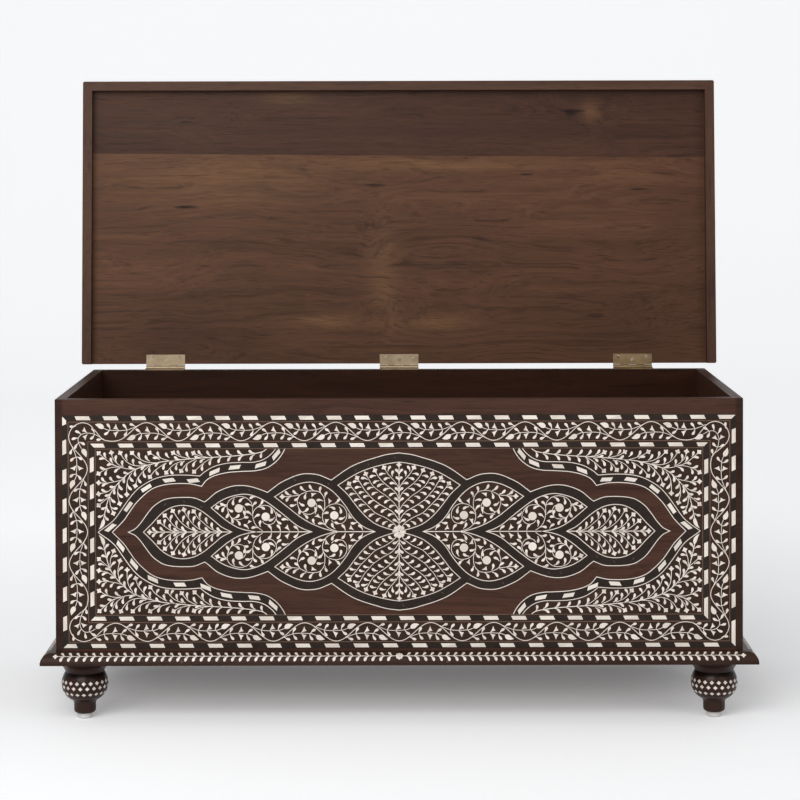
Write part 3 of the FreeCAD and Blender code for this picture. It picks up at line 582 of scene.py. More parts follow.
INNER_HEART = chained(
    ((-112, 0), (-134, 6.5), (-155, 15.5), (-175, 28), (-195, 44), (-217, 61.3)),
    (
        (-195, 75), (-175, 83.7), (-155, 86.8), (-135, 82.3), (-115, 70), (-95, 47.5), (-82, 27.5),
        (-70, 14.5), (-57, 6), (-42, 0),
    ),
)
FAN = chained(
    (
        (0, 1.5), (-12, 3.2), (-28, 8), (-40, 13), (-50, 19.5), (-60, 28.5), (-70, 39.5), (-80, 52.3),
        (-90, 65.5), (-106.5, 81.3),
    ),
    ((-85, 95), (-65, 105.5), (-40, 114), (-15, 119.5), (0, 121.5)),
)

ALMOND_SPINE = ((-294, 0), (-435, 0))
ALMOND_BLOOMS = (
    ((-390, 0.5), (-400, 4), (-408, 9.5), (-418.5, 18)),
    ((-371, 0.5), (-383, 5), (-391, 10), (-397, 16), (-404, 25), (-408.5, 29)),
    ((-353, 0.5), (-363, 5), (-372, 10), (-380, 17), (-386, 24), (-391, 32), (-394.5, 37)),
    ((-336, 0.5), (-346, 4), (-354, 9), (-362, 17), (-369, 27), (-373, 33), (-375, 39)),
    ((-314, 0.5), (-325, 4), (-333, 9), (-341, 16), (-350, 24), (-355, 32), (-358, 36)),
)
ALMOND_LEAVES = (
    (-421, 1, -430, 9), (-408.5, 1.5, -416.5, 9), (-383.5, 2, -393, 7.5), (-370.5, 1.5, -379, 10),
    (-351, 2.5, -360.5, 8.5), (-329.5, 1.5, -338, 8.5), (-308.5, 1, -317.5, 8), (-408.5, 11.5, -407, 22.5),
    (-398, 4.5, -399, 14.5), (-398, 17.5, -395, 30), (-386.5, 8, -387, 20), (-384, 31, -381.5, 38.5),
    (-376.5, 17.5, -373.5, 28.5), (-366.5, 9, -367.5, 19), (-366.5, 26, -365, 37.5),
    (-358.5, 16, -355, 27.5), (-347, 5.5, -347.5, 18.5), (-346.5, 23, -345.5, 34.5),
    (-333.5, 14.5, -336, 25.5), (-324, 5, -326, 16.5),
)

OUTER_SPINE = ((-248, 0), (-156, 0))
OUTER_SCROLLS = (
    (
        (-238, 2), (-245, 7), (-251, 14), (-254.5, 24), (-255.5, 35), (-255.5, 44), (-258, 52), (-264, 58),
        (-270, 61), (-279, 62), (-288, 60), (-295, 56), (-299, 50), (-299.5, 42), (-298, 35), (-294, 27),
        (-288, 22.5), (-280, 21.5), (-273, 23.5), (-268.5, 29), (-267.5, 37), (-270, 43), (-274, 46),
    ),
    (
        (-255.5, 30), (-253, 37), (-248, 42.5), (-242.5, 45.5), (-235, 46.5), (-227, 45), (-220, 40),
        (-215.5, 33), (-214, 26), (-216, 19), (-221, 14), (-228, 12.5), (-235, 15), (-238, 19),
    ),
)
OUTER_BLOOMS = (((-299, 45), (-308, 46), (-317, 43)),)
OUTER_LEAVES = (
    (-299, 48, -312, 50.5), (-302, 45, -308, 34.5), (-298, 37, -302, 24.5), (-298, 41, -289, 36),
    (-294.5, 27, -290.5, 14.5), (-287, 58.5, -288.5, 46.5), (-269.5, 59.5, -278.5, 51.5),
    (-256.5, 45.5, -268.5, 47.5), (-255, 44, -248, 52), (-250.5, 61, -260, 58), (-244, 46, -238, 56),
    (-246, 43.5, -234, 39), (-224.5, 43, -222.5, 31.5), (-214, 35, -205.5, 27), (-216.5, 26, -228, 20),
    (-214, 22, -205, 14), (-193, 20, -205, 21), (-241.5, 8.5, -241, 20), (-252.5, 24, -242.5, 30),
    (-257, 29, -267.5, 35.5), (-289, 24, -278.5, 31), (-274, 22.5, -262.5, 25), (-270, 26, -271.5, 37),
    (-284, 20.5, -277.5, 11), (-262.5, 5, -271, 12.5), (-246, 7, -257.5, 6), (-222.5, 1.5, -229, 12.5),
    (-207, 1.5, -213.5, 12), (-175.5, 1.5, -184, 9.5),
)
OUTER_BELLS = (
    ((-265, 13.6), (-262, 20.8), (-256.5, 18.6)),
    ((-194.5, 13), (-200, 6.8), (-190.5, 1.5)),
)
OUTER_DISCS = ((-279.5, 41.2), (-232.5, 26.5))

INNER_SPINE = ((-114, 0), (-44, 0))
INNER_SCROLLS = (
    (
        (-108, 1), (-118, 4), (-126, 9), (-131, 16), (-133.5, 24), (-133, 33), (-130, 41), (-129.5, 50),
        (-130.5, 58), (-134, 65), (-140, 70), (-148, 71.5), (-158, 71), (-166, 68), (-173, 64), (-177, 57),
        (-177, 49), (-175, 42), (-171, 36), (-165, 32), (-157, 30.5), (-150, 32.5), (-145, 38),
        (-143, 44), (-145, 50), (-148, 53),
    ),
    (
        (-133, 33), (-129, 40), (-122, 46), (-114, 48.5), (-106, 48.5), (-98, 44.5), (-92.5, 37),
        (-91, 29), (-93, 21), (-98, 15.5), (-105, 14), (-113, 15.5), (-118, 20),
    ),
)
INNER_BLOOMS = (((-173, 64), (-182, 63), (-192, 62), (-203.5, 61.5)),)
INNER_LEAVES = (
    (-187.5, 64, -198.5, 71.5), (-188, 62, -196.5, 52.5), (-175, 65.5, -185, 73), (-174, 63, -183, 55),
    (-162, 71.5, -172, 80), (-148.5, 72, -156, 82.5), (-161, 68, -163.5, 56.5), (-132, 53.5, -144, 54.5),
    (-136.5, 67.5, -136, 79), (-129, 60, -125, 69.5), (-112, 50, -104.5, 58), (-122, 43, -111.5, 38.5),
    (-104.5, 43.5, -102, 31.5), (-94, 26.5, -105.5, 23), (-73, 17, -84.5, 15.5), (-111.5, 5, -117, 15.5),
    (-94, 2, -100.5, 12), (-63.5, 2.5, -71.5, 11.5), (-174.5, 52, -164.5, 46), (-179, 48.5, -190.5, 46.5),
    (-175.5, 42, -174.5, 30.5), (-168, 34.5, -158.5, 42), (-167, 30.5, -159.5, 22.5),
    (-146.5, 31, -147, 43.5), (-133, 36.5, -141.5, 45.5), (-147, 13.5, -149.5, 23), (-129, 12, -141.5, 14),
    (-133, 30, -122.5, 33), (-102, 14.5, -112, 17.5),
)
INNER_BELLS = (
    ((-143.5, 67.5), (-153.5, 68), (-152.5, 60.5)),
    ((-123.5, 59), (-117.2, 54), (-122.8, 47.5)),
    ((-88.5, 33), (-81, 23), (-88.5, 22.6)),
    ((-84.5, 12.4), (-87.4, 4.6), (-78.6, 2.6)),
    ((-147.6, 26.6), (-141.5, 31.6), (-135.5, 23.6)),
    ((-129.4, 22.4), (-121.8, 22.4), (-128.6, 11.6)),
)
INNER_DISCS = ((-152.5, 50.5), (-113, 28.5))

FAN_SPINE = ((0, 8), (0, 117))
FAN_BLOOMS = (
    (
        (-4, 8), (-10, 15), (-17, 20), (-25, 25), (-34, 29), (-43, 34), (-51, 42), (-59, 50), (-67, 58),
        (-73, 66), (-79, 73), (-87, 84),
    ),
    (
        (-1, 20), (-5, 27), (-12, 35), (-20, 40), (-29, 45), (-38, 51), (-46, 57), (-53, 65), (-60, 73),
        (-65, 81), (-73, 94),
    ),
    ((-0.5, 34), (-2, 40), (-7, 48), (-15, 56), (-23, 63), (-32, 69), (-40, 75), (-47, 82), (-58, 101)),
    ((-1, 58), (-5, 67), (-12, 74), (-20, 80), (-28, 87), (-35, 95), (-42, 107)),
    ((-0.5, 74), (-3, 81), (-8, 88), (-14, 95), (-20, 102), (-26, 112)),
)
FAN_LEAVES = (
    (-82.5, 77, -93.5, 74), (-75.5, 66, -86.5, 63.5), (-67, 56, -78.5, 53.5), (-59, 47, -70, 44),
    (-50.5, 38.5, -61.5, 33.5), (-42, 31, -52.5, 25.5), (-31.5, 24, -40, 17), (-20, 18, -29, 11.5),
    (-9.5, 13, -18.5, 7.5), (-70, 87.5, -80.5, 86), (-66, 77.5, -77, 75.5), (-60.5, 69, -70, 66.5),
    (-52.5, 62, -62.5, 59.5), (-43, 54.5, -53.5, 48.5), (-33, 46.5, -42.5, 41), (-21.5, 39, -31.5, 33),
    (-9.5, 30.5, -19.5, 27), (-55, 91, -66.5, 93), (-51.5, 85, -61.5, 81), (-44.5, 77, -55.5, 73.5),
    (-37, 68.5, -47.5, 64), (-26.5, 62, -36.5, 57), (-15.5, 55, -25.5, 49.5), (-6.5, 45.5, -17, 42),
    (-40, 97.5, -51, 94.5), (-34.5, 89, -45, 84), (-26, 83, -38, 78), (-16, 75, -27.5, 71),
    (-6.5, 67, -17, 62), (-23.5, 101, -34.5, 98.5), (-15.5, 93.5, -26.5, 90), (-5.5, 82.5, -16.5, 84),
    (-19, 105, -14, 114.5), (-11.5, 96.5, -9.5, 106.5), (-1, 100.5, -7, 109), (-0.5, 89, -6, 95.5),
    (-0.5, 69, -7.5, 76.5), (-0.5, 51, -8.5, 58.5), (-0.5, 29, -7.5, 37.5), (-1.5, 15, -11.5, 20.5),
)

# A rosette's petals start and end at these radii, and have this width
ROSETTE_PETALS = 8
ROSETTE = (1.2, 11.6, 7)


def medallion(outline, spine, bloom, *halves, axis="x"):
    """An outlined ground, mirrored across the middle line, with one stem along it."""
    art = Art()
    whole = both_ways(outline, axis)[:-1]
    art.line(whole, OUTLINE_WIDTH, closed=True)
    path = smooth(spine)
    art.line(path, STEM_WIDTH)
    if bloom:
        flower(art, path[-1], BLOOM, path[-1] - path[-2])
    half = spray(*halves, spine=spine)
    art.add(half)
    art.add(half, np.diag(ACROSS[axis]))
    return art, whole


def rosette(art, middle, start, end, width):
    for i in range(ROSETTE_PETALS):
        heading = turned((1, 0), 360 / ROSETTE_PETALS * i)
        leaf(art, heading * start + middle, heading * end + middle, width)


def fans():
    """The two fans of the middle medallion, and the rosette between them."""
    fan, outline = medallion(FAN, FAN_SPINE, True, (), FAN_BLOOMS, FAN_LEAVES, axis="y")
    art = Art()
    art.add(fan)
    art.add(fan, np.diag(ACROSS["x"]))
    rosette(art, (0, 0), *ROSETTE)
    return art, outline


# Old pegs in the ebony of the chain, as pale slits
PEGS = (
    ((-182.5, 92), (-180, 88.5)), ((-124, 85), (-122.5, 82)), ((-77, 109), (-74, 106)),
    ((-283, 75), (-282, 71)), ((-261.5, 74.5), (-260.5, 71)), ((-346, 46), (-344, 42.5)),
    ((-375, 55), (-374.5, 51.5)), ((-8, 130.5), (-6, 128)), ((-407, 50), (-409, 46.5)),
    ((-54, 119), (-52.5, 116.5)),
)
PEG_WIDTH = 0.7


def pegs():
    art = Art()
    for x, y in ((1, 1), (-1, -1)):
        for ends in PEGS:
            art.line(np.array(ends) * (x, y), PEG_WIDTH)
    return art


# Laying the art on the faces


class Face:
    """A flat face: u to the right and v up as one looks at it, in millimetres, and w out of it."""

    def __init__(self, body, middle, u, v):
        self.body, self.middle = body, Vector(middle)
        self.u, self.v = Vector(u), Vector(v)
        self.out = self.u.cross(self.v)

    def point(self, u, v, w):
        return self.middle + (self.u * u + self.v * v + self.out * w) * MM


def closed_mesh(name, vertices, faces):
    mesh = bpy.data.meshes.new(name)
    mesh.from_pydata([tuple(v) for v in vertices], [], faces)
    mesh.update()
    piece = bpy.data.objects.new(name, mesh)
    bpy.context.scene.collection.objects.link(piece)
    return piece


def area_of(outline):
    x, y = outline[:, 0], outline[:, 1]
    return (x * np.roll(y, -1) - y * np.roll(x, -1)).sum() / 2


def lay(art, face, name, material, slot, top):
    """Makes one piece of all the art: thin closed slabs that stand a little out of the face."""
    vertices, faces = [], []
    for number, (path, halves, closed) in enumerate(art.strokes):
        steps = side_steps(path, closed) * halves[:, None]
        first, count = len(vertices), len(path)
        lifted = top + LIFT * (number % LIFTS)
        for place, step in zip(path, steps):
            for w in (SUNK, lifted):
                vertices += [face.point(*(place + step), w), face.point(*(place - step), w)]
        for i in range(count if closed else count - 1):
            a, b = first + 4 * i, first + 4 * ((i + 1) % count)
            faces += [
                (a + 3, b + 3, b + 2, a + 2),
                (a, b, b + 1, a + 1),
                (a + 1, b + 1, b + 3, a + 3),
                (b, a, a + 2, b + 2),
            ]
        if not closed:
            last = first + 4 * (count - 1)
            faces.append((first, first + 1, first + 3, first + 2))
            faces.append((last + 1, last, last + 2, last + 3))
    for middle, outline in art.plates:
        if area_of(outline) < 0:
            outline = outline[::-1]
        first, count = len(vertices), len(outline)
        for w in (SUNK, top):
            vertices += [face.point(u, v, w) for u, v in outline]
            vertices.append(face.point(*middle, w))
        for i in range(count):
            a, b = first + i, first + (i + 1) % count
            low, high = first + count, first + 2 * count + 1
            over_a, over_b = a + count + 1, b + count + 1
            faces += [(a, b, over_b, over_a), (b, a, low), (over_a, over_b, high)]
    for outline in art.sheets:
        if area_of(outline) < 0:
            outline = outline[::-1]
        first, count = len(vertices), len(outline)
        for w in (SUNK, top):
            vertices += [face.point(u, v, w) for u, v in outline]
        faces.append(tuple(range(first + count - 1, first - 1, -1)))
        faces.append(tuple(range(first + count, first + 2 * count)))
        for i in range(count):
            a, b = first + i, first + (i + 1) % count
            faces.append((a, b, b + count, a + count))
    piece = closed_mesh(name, vertices, faces)
    piece.data.materials.append(material)
    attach(piece, face.body)
    return piece


# Materials


def colour(red, green, blue):
    """A colour as an image shows it, from 0 to 255, in the linear values that Blender takes."""
    linear = []
    for level in (red, green, blue):
        share = level / 255
        linear.append(share / 12.92 if share <= 0.04045 else ((share + 0.055) / 1.055) ** 2.4)
    return (*linear, 1.0)


class Shader:
    """A material built node by node. Inputs take plain values or the outputs of other nodes."""

    def __init__(self, name):
        self.material = bpy.data.materials.new(name)
        self.material.use_nodes = True
        self.tree = self.material.node_tree
        self.surface = self.tree.nodes["Principled BSDF"]

    def feed(self, socket, value):
        if isinstance(value, bpy.types.NodeSocket):
            self.tree.links.new(value, socket)
        else:
            socket.default_value = value

    def node(self, kind, output=0, inputs=None, **settings):
        made = self.tree.nodes.new("ShaderNode" + kind)
        for key, value in settings.items():
            setattr(made, key, value)
        for key, value in (inputs or {}).items():
            self.feed(made.inputs[key], value)
        return made.outputs[output]

    def set(self, **values):
        for key, value in values.items():
            self.feed(self.surface.inputs[key.replace("_", " ")], value)
        return self

    def noise(self, scale, detail=3.0, rough=0.5, shift=(0, 0, 0), held=None):
        """Noise by the place in the object, in metres. scale is one for all axes or one for each."""
        if held is None:
            held = self.node("TexCoord", "Object")
        if isinstance(scale, float):
            scale = (scale, scale, scale)
        vector = self.node("Mapping", 0, {"Vector": held, "Scale": scale, "Location": shift})
        values = {"Vector": vector, "Scale": 1.0, "Detail": detail, "Roughness": rough}
        return self.node("TexNoise", 0, values)

    def sum(self, *terms):
        """Adds terms, each a value or a pair of a value and its factor."""
        total = None
        for term in terms:
            value, factor = term if isinstance(term, tuple) else (term, 1.0)
            inputs = {0: value, 1: factor, 2: 0.0 if total is None else total}
            total = self.node("Math", 0, inputs, operation="MULTIPLY_ADD")
        return total

    def maths(self, operation, a, b=0.0):
        return self.node("Math", 0, {0: a, 1: b}, operation=operation)

    def ranged(self, value, low, high, to_low=0.0, to_high=1.0):
        inputs = {0: value, 1: low, 2: high, 3: to_low, 4: to_high}
        return self.node("MapRange", 0, inputs)

    def mix(self, share, a, b):
        return self.node("Mix", 2, {0: share, 6: a, 7: b}, data_type="RGBA")

    def bump(self, height, strength, distance):
        values = {"Height": height, "Strength": strength, "Distance": distance}
        self.set(Normal=self.node("Bump", 0, values))
        return self


# For grain that runs along each axis: which of x, y and z lie across it
GRAIN_AXES = {"X": (0, 1, 1), "Y": (1, 0, 1), "Z": (1, 1, 0)}


def grain(axis, lengthwise, crosswise):
    return tuple(crosswise if across else lengthwise for across in GRAIN_AXES[axis])


def near_place(m, held, x, z, half_x, half_z):
    """How far the places of an upright board lie from x and z, in half spreads, squared."""
    squares = []
    for axis, middle, half in (("X", x, half_x), ("Z", z, half_z)):
        place = m.node("SeparateXYZ", axis, {0: held})
        share = m.maths("DIVIDE", m.maths("SUBTRACT", place, middle), half)
        squares.append(m.maths("MULTIPLY", share, share))
    return m.maths("ADD", *squares)


def hump(m, *where):
    """A smooth rise to 1 round a place."""
    return m.maths("EXPONENT", m.maths("MULTIPLY", near_place(m, *where), -1.0))


def wood(
    name, dark, light, axis, rough=0.42, coat=0.0, shift=(0, 0, 0), sway=0.12,
    figures=(), patches=(), marks=(), zone=None,
):
    """Satin sheesham: streaks that flow along the grain, dark growth lines and fine pores.

    figures bend the streaks of an upright board: x, z, half spreads, lift and pinch.
    patches tint it: x, z, half spreads, share and colour. marks are dark flecks: x, z, half spreads.
    zone darkens by place: an axis, a middle, where it starts and is full, and its share.
    """
    m = Shader(name)
    held = m.node("TexCoord", "Object")
    black = tuple(c * 0.3 for c in dark[:3]) + (1.0,)
    waves = m.noise(grain(axis, 1.7, 5.5), 2.0, shift=shift)
    ripples = m.noise(grain(axis, 9.0, 22.0), 2.0, shift=shift)
    warp = m.sum((waves, sway), (ripples, 0.014), -0.5 * sway - 0.007)
    for x, z, half_x, half_z, lift, pinch in figures:
        near = hump(m, held, x, z, half_x, half_z)
        above = m.maths("SUBTRACT", z, m.node("SeparateXYZ", "Z", {0: held}))
        warp = m.maths("ADD", warp, m.maths("MULTIPLY", near, m.sum((above, pinch), lift)))
    across = [warp if share else 0.0 for share in GRAIN_AXES[axis]]
    moved = m.node("CombineXYZ", 0, dict(enumerate(across)))
    moved = m.node("VectorMath", 0, {0: held, 1: moved}, operation="ADD")

    def streaks(lengthwise, crosswise, detail=3.0):
        return m.noise(grain(axis, lengthwise, crosswise), detail, 0.6, shift, moved)

    broad, middle, fine = streaks(0.9, 17.0, 2.0), streaks(2.2, 75.0), streaks(9.0, 320.0)
    clouds = m.noise(grain(axis, 1.1, 3.2), 2.0, shift=shift)
    tone = m.sum((broad, 0.5), (middle, 0.62), (fine, 0.4), (clouds, 0.45), -0.485)
    shade = m.mix(m.ranged(tone, 0.0, 1.0), dark, light)
    for *where, share, tint in patches:
        flecked = m.ranged(middle, 0.3, 0.65, 0.45 * share, share)
        shade = m.mix(m.maths("MULTIPLY", hump(m, held, *where), flecked), shade, tint)
    lines = m.ranged(streaks(1.0, 130.0, 2.0), 0.56, 0.72)
    shade = m.mix(m.maths("MULTIPLY", lines, 0.42), shade, black)
    pores = m.ranged(m.noise(grain(axis, 26.0, 900.0), 1.0, shift=shift), 0.6, 0.72)
    shade = m.mix(m.maths("MULTIPLY", pores, 0.5), shade, black)
    for mark in marks:
        near = m.ranged(near_place(m, held, *mark), 0.1, 1.0, 1.0, 0.0)
        ragged = m.ranged(fine, 0.35, 0.6, 0.35, 0.95)
        shade = m.mix(m.maths("MULTIPLY", near, ragged), shade, black)
    if zone:
        place = m.node("SeparateXYZ", zone[0], {0: held})
        off = m.maths("ABSOLUTE", m.maths("SUBTRACT", place, zone[1]))
        shade = m.mix(m.ranged(off, zone[2], zone[3], 0.0, zone[4]), shade, black)
    m.set(Base_Color=shade, Coat_Weight=coat, Coat_Roughness=0.16, Specular_IOR_Level=0.12)
    m.set(Roughness=m.ranged(middle, 0.2, 0.8, rough - 0.05, rough + 0.09))
    return m.bump(m.sum((fine, 0.5), (pores, -0.6), (middle, 0.4)), 0.25, 0.0004).material


def bone_material():
    """Camel bone: each chip has its own tone, with soft stains and faint fine marks."""
    m = Shader("bone")
    own = m.node("NewGeometry", "Random Per Island")
    fibres = m.noise(260.0, 2.0)
    stains = m.noise(38.0, 2.0, shift=(0.3, 0.1, 0.2))
    tone = m.sum((own, 0.62), (stains, 0.5), (fibres, 0.2), -0.2)
    shade = m.mix(m.ranged(tone, 0.0, 1.0), colour(198, 185, 173), colour(230, 220, 209))
    m.set(Base_Color=shade, Coat_Weight=0.2, Coat_Roughness=0.2)
    m.set(Roughness=m.ranged(fibres, 0.2, 0.8, 0.3, 0.42))
    return m.bump(fibres, 0.12, 0.0002).material


def stained_material(name, fine, coarse, shift, cloud_share, dark, light, shine, rough, bump):
    """Dark wood under polish: fine streaks over soft clouds."""
    m = Shader(name)
    streaks = m.noise(fine, 4.0, 0.6)
    clouds = m.noise(coarse, 2.0, shift=shift)
    tone = m.sum((streaks, 0.7), (clouds, cloud_share), 0.15 - cloud_share / 2)
    m.set(Base_Color=m.mix(m.ranged(tone, 0.2, 0.9), dark, light), Specular_IOR_Level=shine)
    m.set(Roughness=m.ranged(streaks, 0.2, 0.8, *rough))
    return m.bump(streaks, bump, 0.0003).material


def speckled_material(name, size, dark, light, rough, bump=None, **values):
    """A plain finish with one fine noise in its colour, its gloss and its relief."""
    m = Shader(name)
    speckles = m.noise(size)
    m.set(Base_Color=m.mix(speckles, dark, light), Roughness=m.ranged(speckles, 0.2, 0.8, *rough), **values)
    return m.bump(speckles, *bump).material if bump else m.material


def brass_material(name, dark, light):
    """Dull antique brass with soft tarnish."""
    m = Shader(name)
    patches = m.noise((34.0, 34.0, 60.0), rough=0.55)
    scratches = m.noise((60.0, 900.0, 900.0), 2.0)
    shade = m.mix(m.ranged(m.sum((patches, 0.8), (scratches, 0.2)), 0.3, 0.7), dark, light)
    m.set(Base_Color=shade, Metallic=0.85)
    m.set(Roughness=m.ranged(patches, 0.3, 0.7, 0.38, 0.5))
    return m.bump(scratches, 0.2, 0.0002).material


def screw_material():
    """Brass screws, some bright and some tarnished dark."""
    m = Shader("screw_brass")
    own = m.node("NewGeometry", "Random Per Island")
    stains = m.noise(500.0, 2.0)
    tone = m.ranged(m.sum(own, (stains, 0.4)), 0.35, 1.0)
    shade = m.mix(tone, colour(58, 44, 30), colour(196, 182, 158))
    return m.set(Base_Color=shade, Metallic=0.85, Roughness=m.ranged(stains, 0.2, 0.8, 0.32, 0.5)).material


BONE, SCREW = bone_material(), screw_material()
BRASS = brass_material("brass", colour(132, 114, 90), colour(164, 146, 120))
BRASS_DARK = brass_material("brass_dark", colour(114, 94, 66), colour(148, 124, 92))
EBONY = stained_material(
    "ebony", 90.0, 14.0, (0, 0, 0), 0.5, colour(29, 22, 17), colour(49, 39, 33),
    0.12, (0.4, 0.52), 0.2,
)
# The darker stained ground between the leaves
GROUND = stained_material(
    "ground", (22.0, 22.0, 150.0), 9.0, (0.4, 0.1, 0.7), 0.6, colour(38, 25, 19), colour(61, 43, 34),
    0.1, (0.42, 0.55), 0.25,
)
# Pale stringing wood of the thin lines
STRINGING = speckled_material(
    "stringing", 160.0, colour(88, 63, 47), colour(126, 98, 76), (0.5, 0.5), (0.15, 0.0002)
)
STEEL = speckled_material(
    "steel", 400.0, colour(70, 58, 50), colour(112, 100, 90), (0.4, 0.6), Metallic=0.8
)
NYLON = speckled_material(
    "nylon", 120.0, colour(182, 179, 175), colour(212, 210, 207), (0.3, 0.42), (0.1, 0.0003),
    Subsurface_Weight=0.15, Subsurface_Scale=0.004,
)
BOX_DARK, BOX_LIGHT = colour(36, 20, 14), colour(84, 55, 43)
BOX_LONG = wood("box_wood_long", BOX_DARK, BOX_LIGHT, "X", zone=("X", 0.0, 0.584, 0.59, 0.5))
# The back panel's wood is darker than the rest: painted shade for the inside of the open box, over a darker
# unpolished inside
BOX_INSIDE_PAINTED_SHADE = wood("box_wood_inside_painted_shade", colour(27, 10, 3), colour(58, 29, 13), "X", shift=(0.7, 0.2, 0.9))
BOX_SHORT = wood("box_wood_short", BOX_DARK, BOX_LIGHT, "Y", shift=(1.1, 0.4, 0.2))
MOULDING_LONG = wood("moulding_wood_long", colour(33, 20, 14), colour(62, 41, 32), "X", shift=(2, 1, 0))
MOULDING_SHORT = wood("moulding_wood_short", colour(33, 20, 14), colour(62, 41, 32), "Y")
# The feet are painted darkest in the hollow of the neck, this far below the moulding: painted shade under
# the collar, over a darker finish in the groove
NECK_DEPTH = 0.0255
NECK_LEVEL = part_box("front_moulding")[0].z - NECK_DEPTH
FOOT_WOOD = wood(
    "foot_wood", colour(30, 16, 11), colour(60, 37, 28), "Z", rough=0.34, coat=0.1,
    zone=("Z", NECK_LEVEL, 0.0052, 0.0026, 0.8),
)
PLAIN_WOOD = wood("plain_wood", colour(66, 42, 30), colour(112, 78, 58), "X", 0.6)
LIP_LONG = wood("lip_wood_long", colour(46, 28, 20), colour(94, 66, 51), "X", shift=(0.3, 0.8, 0.4))
LIP_UP = wood("lip_wood_up", colour(46, 28, 20), colour(94, 66, 51), "Z", shift=(0.6, 0.2, 0.1))
GOLDEN, PURPLE = colour(122, 88, 58), colour(58, 34, 28)
LID_REAR = wood(
    "lid_rear_wood", colour(42, 22, 13), colour(110, 74, 52), "X", shift=(0.37, 0, 0.21), sway=0.2,
    figures=(
        (0.074, 0.755, 0.1, 0.07, 0.0, 0.8), (-0.055, 0.83, 0.022, 0.05, 0.022, 0.0),
        (-0.137, 0.668, 0.08, 0.045, 0.02, 0.0), (-0.042, 0.67, 0.022, 0.05, -0.022, 0.0),
        (0.1, 0.655, 0.07, 0.04, 0.016, 0.0), (-0.3, 0.78, 0.14, 0.05, -0.012, 0.0),
    ),
    patches=(
        (-0.14, 0.662, 0.07, 0.012, 0.75, GOLDEN), (0.07, 0.655, 0.07, 0.012, 0.65, GOLDEN),
        (-0.35, 0.94, 0.2, 0.05, 0.5, GOLDEN), (0.05, 0.965, 0.2, 0.012, 0.6, GOLDEN),
        (-0.03, 0.75, 0.03, 0.09, 0.5, GOLDEN), (-0.45, 0.62, 0.16, 0.05, 0.55, PURPLE),
        (0.45, 0.65, 0.2, 0.07, 0.45, PURPLE), (0.55, 0.85, 0.06, 0.1, 0.4, PURPLE),
    ),
    marks=(
        (-0.048, 0.927, 0.026, 0.004), (0.253, 0.948, 0.016, 0.003), (0.474, 0.918, 0.024, 0.003),
        (0.385, 0.67, 0.02, 0.005), (-0.42, 0.885, 0.03, 0.004),
    ),
)
LID_FRONT = wood(
    "lid_front_wood", colour(34, 17, 10), colour(86, 56, 41), "X", shift=(1.9, 0, 0.6), sway=0.16,
    figures=((0.34, 1.069, 0.05, 0.03, 0.0, 0.9), (-0.42, 1.052, 0.03, 0.014, 0.0, 0.9)),
    patches=(
        (0.345, 1.069, 0.03, 0.012, 0.5, PURPLE), (0.38, 1.07, 0.02, 0.02, 0.5, GOLDEN),
        (-0.22, 1.1, 0.05, 0.012, 0.4, GOLDEN), (0.2, 1.03, 0.3, 0.015, 0.5, PURPLE),
    ),
    marks=((0.34, 1.069, 0.014, 0.009), (0.345, 1.073, 0.03, 0.004), (-0.42, 1.052, 0.014, 0.003)),
)

NODE_MATERIALS = {
    "front_panel": BOX_LONG, "back_panel": BOX_INSIDE_PAINTED_SHADE, "left_panel": BOX_SHORT,
    "right_panel": BOX_SHORT, "bottom_board": PLAIN_WOOD, "front_moulding": MOULDING_LONG,
    "left_moulding": MOULDING_SHORT, "right_moulding": MOULDING_SHORT, "glide_nails": STEEL,
    "corner_block_screws": STEEL, "moulding_nails": STEEL, "hinge_box_screws": SCREW,
    "hinge_lid_screws": SCREW, "lid_rear_board": LID_REAR, "lid_front_board": LID_FRONT,
    "lid_left_lip": LIP_UP, "lid_right_lip": LIP_UP, "lid_front_lip": LIP_LONG,
}
KIND_MATERIALS = (
    ("_strips", EBONY), ("_chips", BONE), ("foot_", FOOT_WOOD), ("glide_", NYLON),
    ("corner_block_", PLAIN_WOOD), ("right_hinge_", BRASS_DARK), ("hinge_", BRASS),
)
for name, piece in frame["nodes"].items():
    material = NODE_MATERIALS.get(name)
    if material is None:
        material = next(made for kind, made in KIND_MATERIALS if kind in name)
    piece.data.materials.clear()
    piece.data.materials.append(material)


# The faces and their inlay

# The kinds of inlay: their material, the slot it fills and how far they stand out
OF_BONE = BONE, "bone", BONE_TOP
OF_EBONY = EBONY, "ebony", EBONY_TOP
OF_GROUND = GROUND, "ebony", GROUND_TOP
OF_LINES = STRINGING, "box_wood", LINE_TOP


def middle_and_half(node):
    low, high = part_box(node)
    return (low + high) / 2, (high - low) / 2


front_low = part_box("front_panel")[0]
front_middle, front_half = middle_and_half("front_border_strips")
FRONT = Face("trunk", (0, front_low.y, front_middle.z), (1, 0, 0), (0, 0, 1))
left_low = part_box("left_panel")[0]
right_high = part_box("right_panel")[1]
left_middle, left_half = middle_and_half("left_border_strips")
LEFT = Face("trunk", (left_low.x, left_middle.y, left_middle.z), (0, -1, 0), (0, 0, 1))
RIGHT = Face("trunk", (right_high.x, left_middle.y, left_middle.z), (0, 1, 0), (0, 0, 1))

hinge = frame["joints"][0]
hinge_place = Vector(hinge["pos_m"])
open_angle = math.radians(hinge["range_deg"][1])
lid_middle, lid_half = middle_and_half("lid_border_strips")
lid_down = Vector((0, math.cos(open_angle), -math.sin(open_angle)))
lid_out = Vector((1, 0, 0)).cross(lid_down)
lid_places = [v.co for v in frame["nodes"]["lid_border_strips"].data.vertices]
lid_reach = max((place - hinge_place).dot(lid_out) for place in lid_places)
lid_centre = lid_middle - lid_out * ((lid_middle - hinge_place).dot(lid_out) - lid_reach)
LID = Face("lid", lid_centre, (1, 0, 0), lid_down)
lid_half_v = max((place - lid_centre).dot(lid_down) for place in lid_places)

